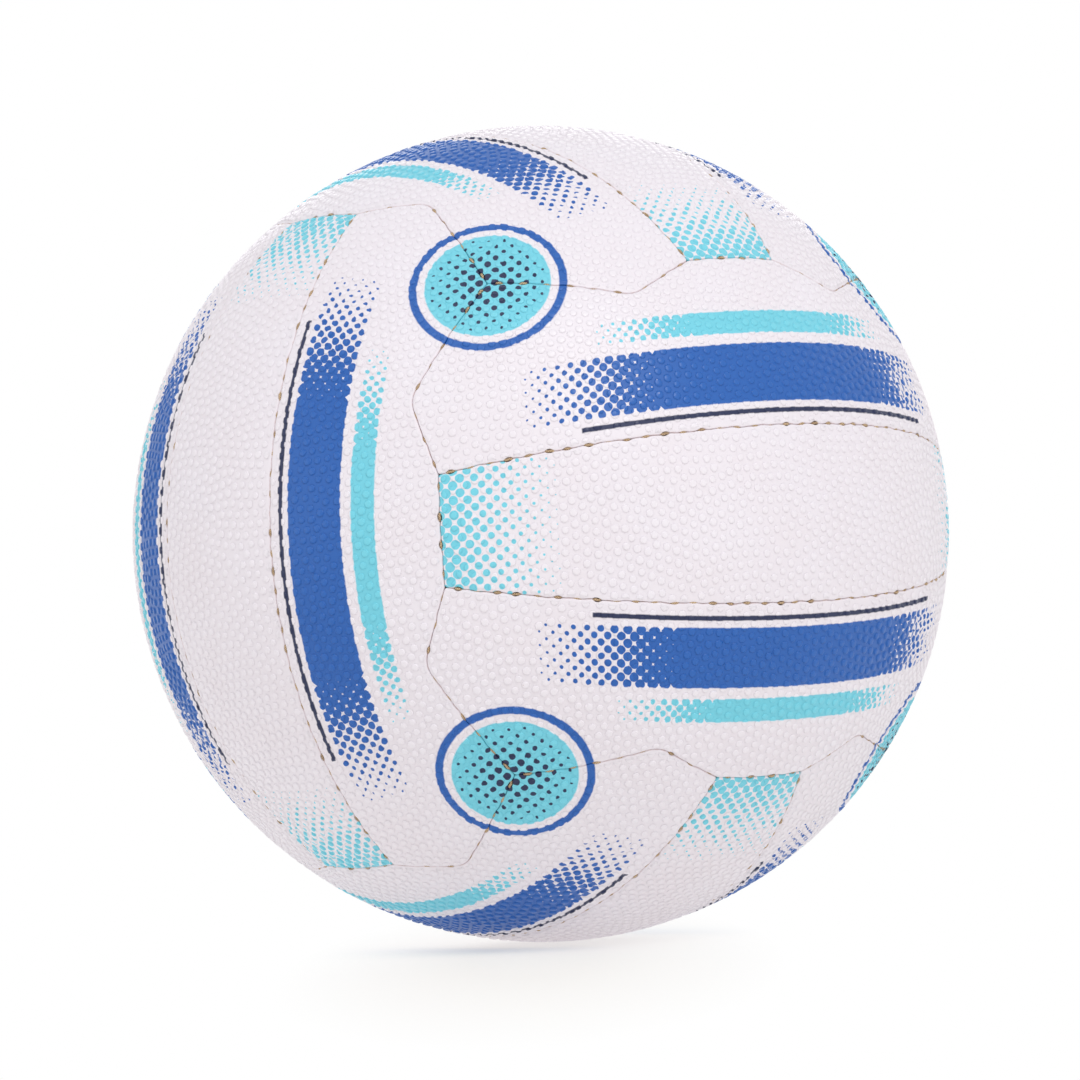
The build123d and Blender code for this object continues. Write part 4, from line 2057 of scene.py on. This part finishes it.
@dataclass
class Studio:
    """White studio: floor, backdrop, soft lamps and the camera at the photograph's angle."""

    radius: float
    floor_level: float
    camera_azimuth: float = -38.5
    camera_elevation: float = -1.1
    camera_roll: float = -3.24
    camera_distance_radii: float = 16.0
    ball_radius_pixels: float = 407.2
    ball_centre_pixels: tuple[float, float] = (540.75, 533.83)
    frame_pixels: float = 1080.0
    sensor: float = 36.0
    camera_reach: float = 100.0
    floor_radius: float = 8.0
    floor_points: int = 96
    world_light: float = 0.714
    # The floor's warm tint shows only inside the shadow patch in front of the ball.
    floor_colour: Colour = (0.92, 0.875, 0.82, 1.0)
    floor_roughness: float = 0.6
    floor_gloss: float = 0.2
    floor_white: float = 0.5
    floor_glow: float = 0.5
    shadow_fade: Span = (0.3, 1.2)
    shadow_width: float = 0.05
    shadow_depth: float = 0.3
    shadow_forward: float = 0.1
    shadow_aside: float = -0.008
    lamps: tuple[StudioLamp, ...] = (
        StudioLamp("key_lamp", -16.5, 41.0, 1.3, 0.5, 3.5),
        StudioLamp("fill_lamp", -68.5, 54.0, 1.3, 0.5, 1.1),
        StudioLamp("right_lamp", 6.5, 1.0, 1.3, 0.2, 0.55),
        StudioLamp("left_lamp", -112.0, 4.0, 1.6, 1.2, 2.0),
        StudioLamp("back_lamp", 141.0, 14.0, 1.6, 0.8, 4.5),
    )

    def build(self) -> None:
        """Build the whole studio."""
        self.build_camera()
        self.build_world()
        self.build_floor()
        for lamp in self.lamps:
            lamp.place()
        bpy.context.scene.view_settings.view_transform = "Standard"

    def build_camera(self) -> None:
        """Set up the camera that the photograph was taken with."""
        back = view_direction(self.camera_azimuth, self.camera_elevation)
        level = Vector((0, 0, 1)).cross(back).normalized()
        upright = back.cross(level)
        roll = math.radians(self.camera_roll)
        right = level * math.cos(roll) + upright * math.sin(roll)
        up = back.cross(right)
        distance = self.camera_distance_radii * self.radius
        focal_pixels = self.ball_radius_pixels * math.sqrt(self.camera_distance_radii**2 - 1)
        pixel = distance / focal_pixels
        half = self.frame_pixels / 2
        across = (half - self.ball_centre_pixels[0]) * pixel
        lift = (self.ball_centre_pixels[1] - half) * pixel
        bpy.ops.object.camera_add()
        camera = bpy.context.object
        camera.name = "photo_camera"
        camera.data.sensor_width = self.sensor
        camera.data.lens = focal_pixels / self.frame_pixels * self.sensor
        camera.data.clip_end = self.camera_reach
        turn = Matrix((right, up, back)).transposed().to_4x4()
        camera.matrix_world = Matrix.Translation(back * distance + right * across + up * lift) @ turn
        bpy.context.scene.camera = camera

    def build_world(self) -> None:
        """Light the ball softly from all round, and show white behind it."""
        world = bpy.data.worlds.new("white_studio")
        world.use_nodes = True
        bpy.context.scene.world = world
        sheet = NodeSheet(world.node_tree)
        light = world.node_tree.nodes["Background"]
        shown = sheet.node("ShaderNodeBackground")
        sheet.feed(light, {"Color": WHITE, "Strength": self.world_light})
        sheet.feed(shown, {"Color": WHITE, "Strength": 1.0})
        ray = sheet.node("ShaderNodeLightPath").outputs
        seen = sheet.add(ray["Is Camera Ray"], ray["Is Glossy Ray"])
        seen = sheet.add(seen, ray["Is Transmission Ray"], clamp=True)
        sheet.blend("World Output", seen, light, shown)

    def build_floor(self) -> None:
        """Lay the pale floor under the ball."""
        bpy.ops.mesh.primitive_circle_add(
            vertices=self.floor_points,
            radius=self.floor_radius,
            fill_type="NGON",
            location=(0, 0, self.floor_level),
        )
        floor = bpy.context.object
        floor.name = "studio_floor"
        material, sheet, shader = new_material("white_floor")
        sheet.feed(shader, {"Base Color": self.floor_colour, "Roughness": self.floor_roughness})
        sheet.feed(shader, {"Specular IOR Level": self.floor_gloss})
        glow = sheet.node("ShaderNodeEmission")
        sheet.feed(glow, {"Strength": 1.0})
        ray = sheet.node("ShaderNodeLightPath").outputs
        seen = sheet.add(ray["Is Camera Ray"], ray["Is Glossy Ray"], clamp=True)
        # Inside the ellipse the floor keeps half its warm lit shading: the real shadow, and around it a
        # painted shadow patch. Outside the ellipse the floor is plain white.
        lit = sheet.ramp(self.shadow_reach(sheet), *self.shadow_fade, self.floor_white, 1.0)
        white = sheet.math("MAXIMUM", sheet.times(seen, lit), self.floor_glow)
        sheet.blend("Material Output", white, shader, glow)
        floor.data.materials.append(material)
        floor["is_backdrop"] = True

    def shadow_reach(self, sheet: NodeSheet) -> NodeSocket:
        """Measure how far a place on the floor lies from the shadow in front of the ball, as a share.

        Args:
            sheet: The floor material's sheet.

        Returns:
            The share's socket, 0 at the shadow's middle and 1 at its rim.
        """
        toward = view_direction(self.camera_azimuth, 0.0)
        aside = Vector((0, 0, 1)).cross(toward)
        place = sheet.place()
        spans = (
            (aside, self.shadow_width, self.shadow_aside),
            (toward, self.shadow_depth, self.shadow_forward),
        )
        squares = []
        for axis, size, middle in spans:
            share = sheet.vector("DOT_PRODUCT", place, tuple(axis / size))
            share = sheet.math("SUBTRACT", share, middle / size)
            squares.append(sheet.times(share, share))
        return sheet.math("SQRT", sheet.add(*squares))


def main() -> None:
    """Build the ball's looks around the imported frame, then the studio."""
    logging.basicConfig(level=logging.INFO, format="%(name)s: %(message)s")
    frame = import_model()
    cad_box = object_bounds()
    bpy.ops.object.select_all(action="DESELECT")
    radius = cad_box[1].z
    plan = SeamPlan(radius)
    groups = PrintGroups(radius)
    needle = frame["record"]["mounts"][0]["dims"]["r_mm"] * MM
    for piece in Cover(plan).build(groups) + Stitching(plan).build() + AirValve(needle).build():
        log.info("%s: %d faces", piece.name, len(piece.data.polygons))
    LinedBladder(frame["nodes"]).dress()
    Studio(radius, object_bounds()[0].z).build()


if __name__ == "__main__":
    main()
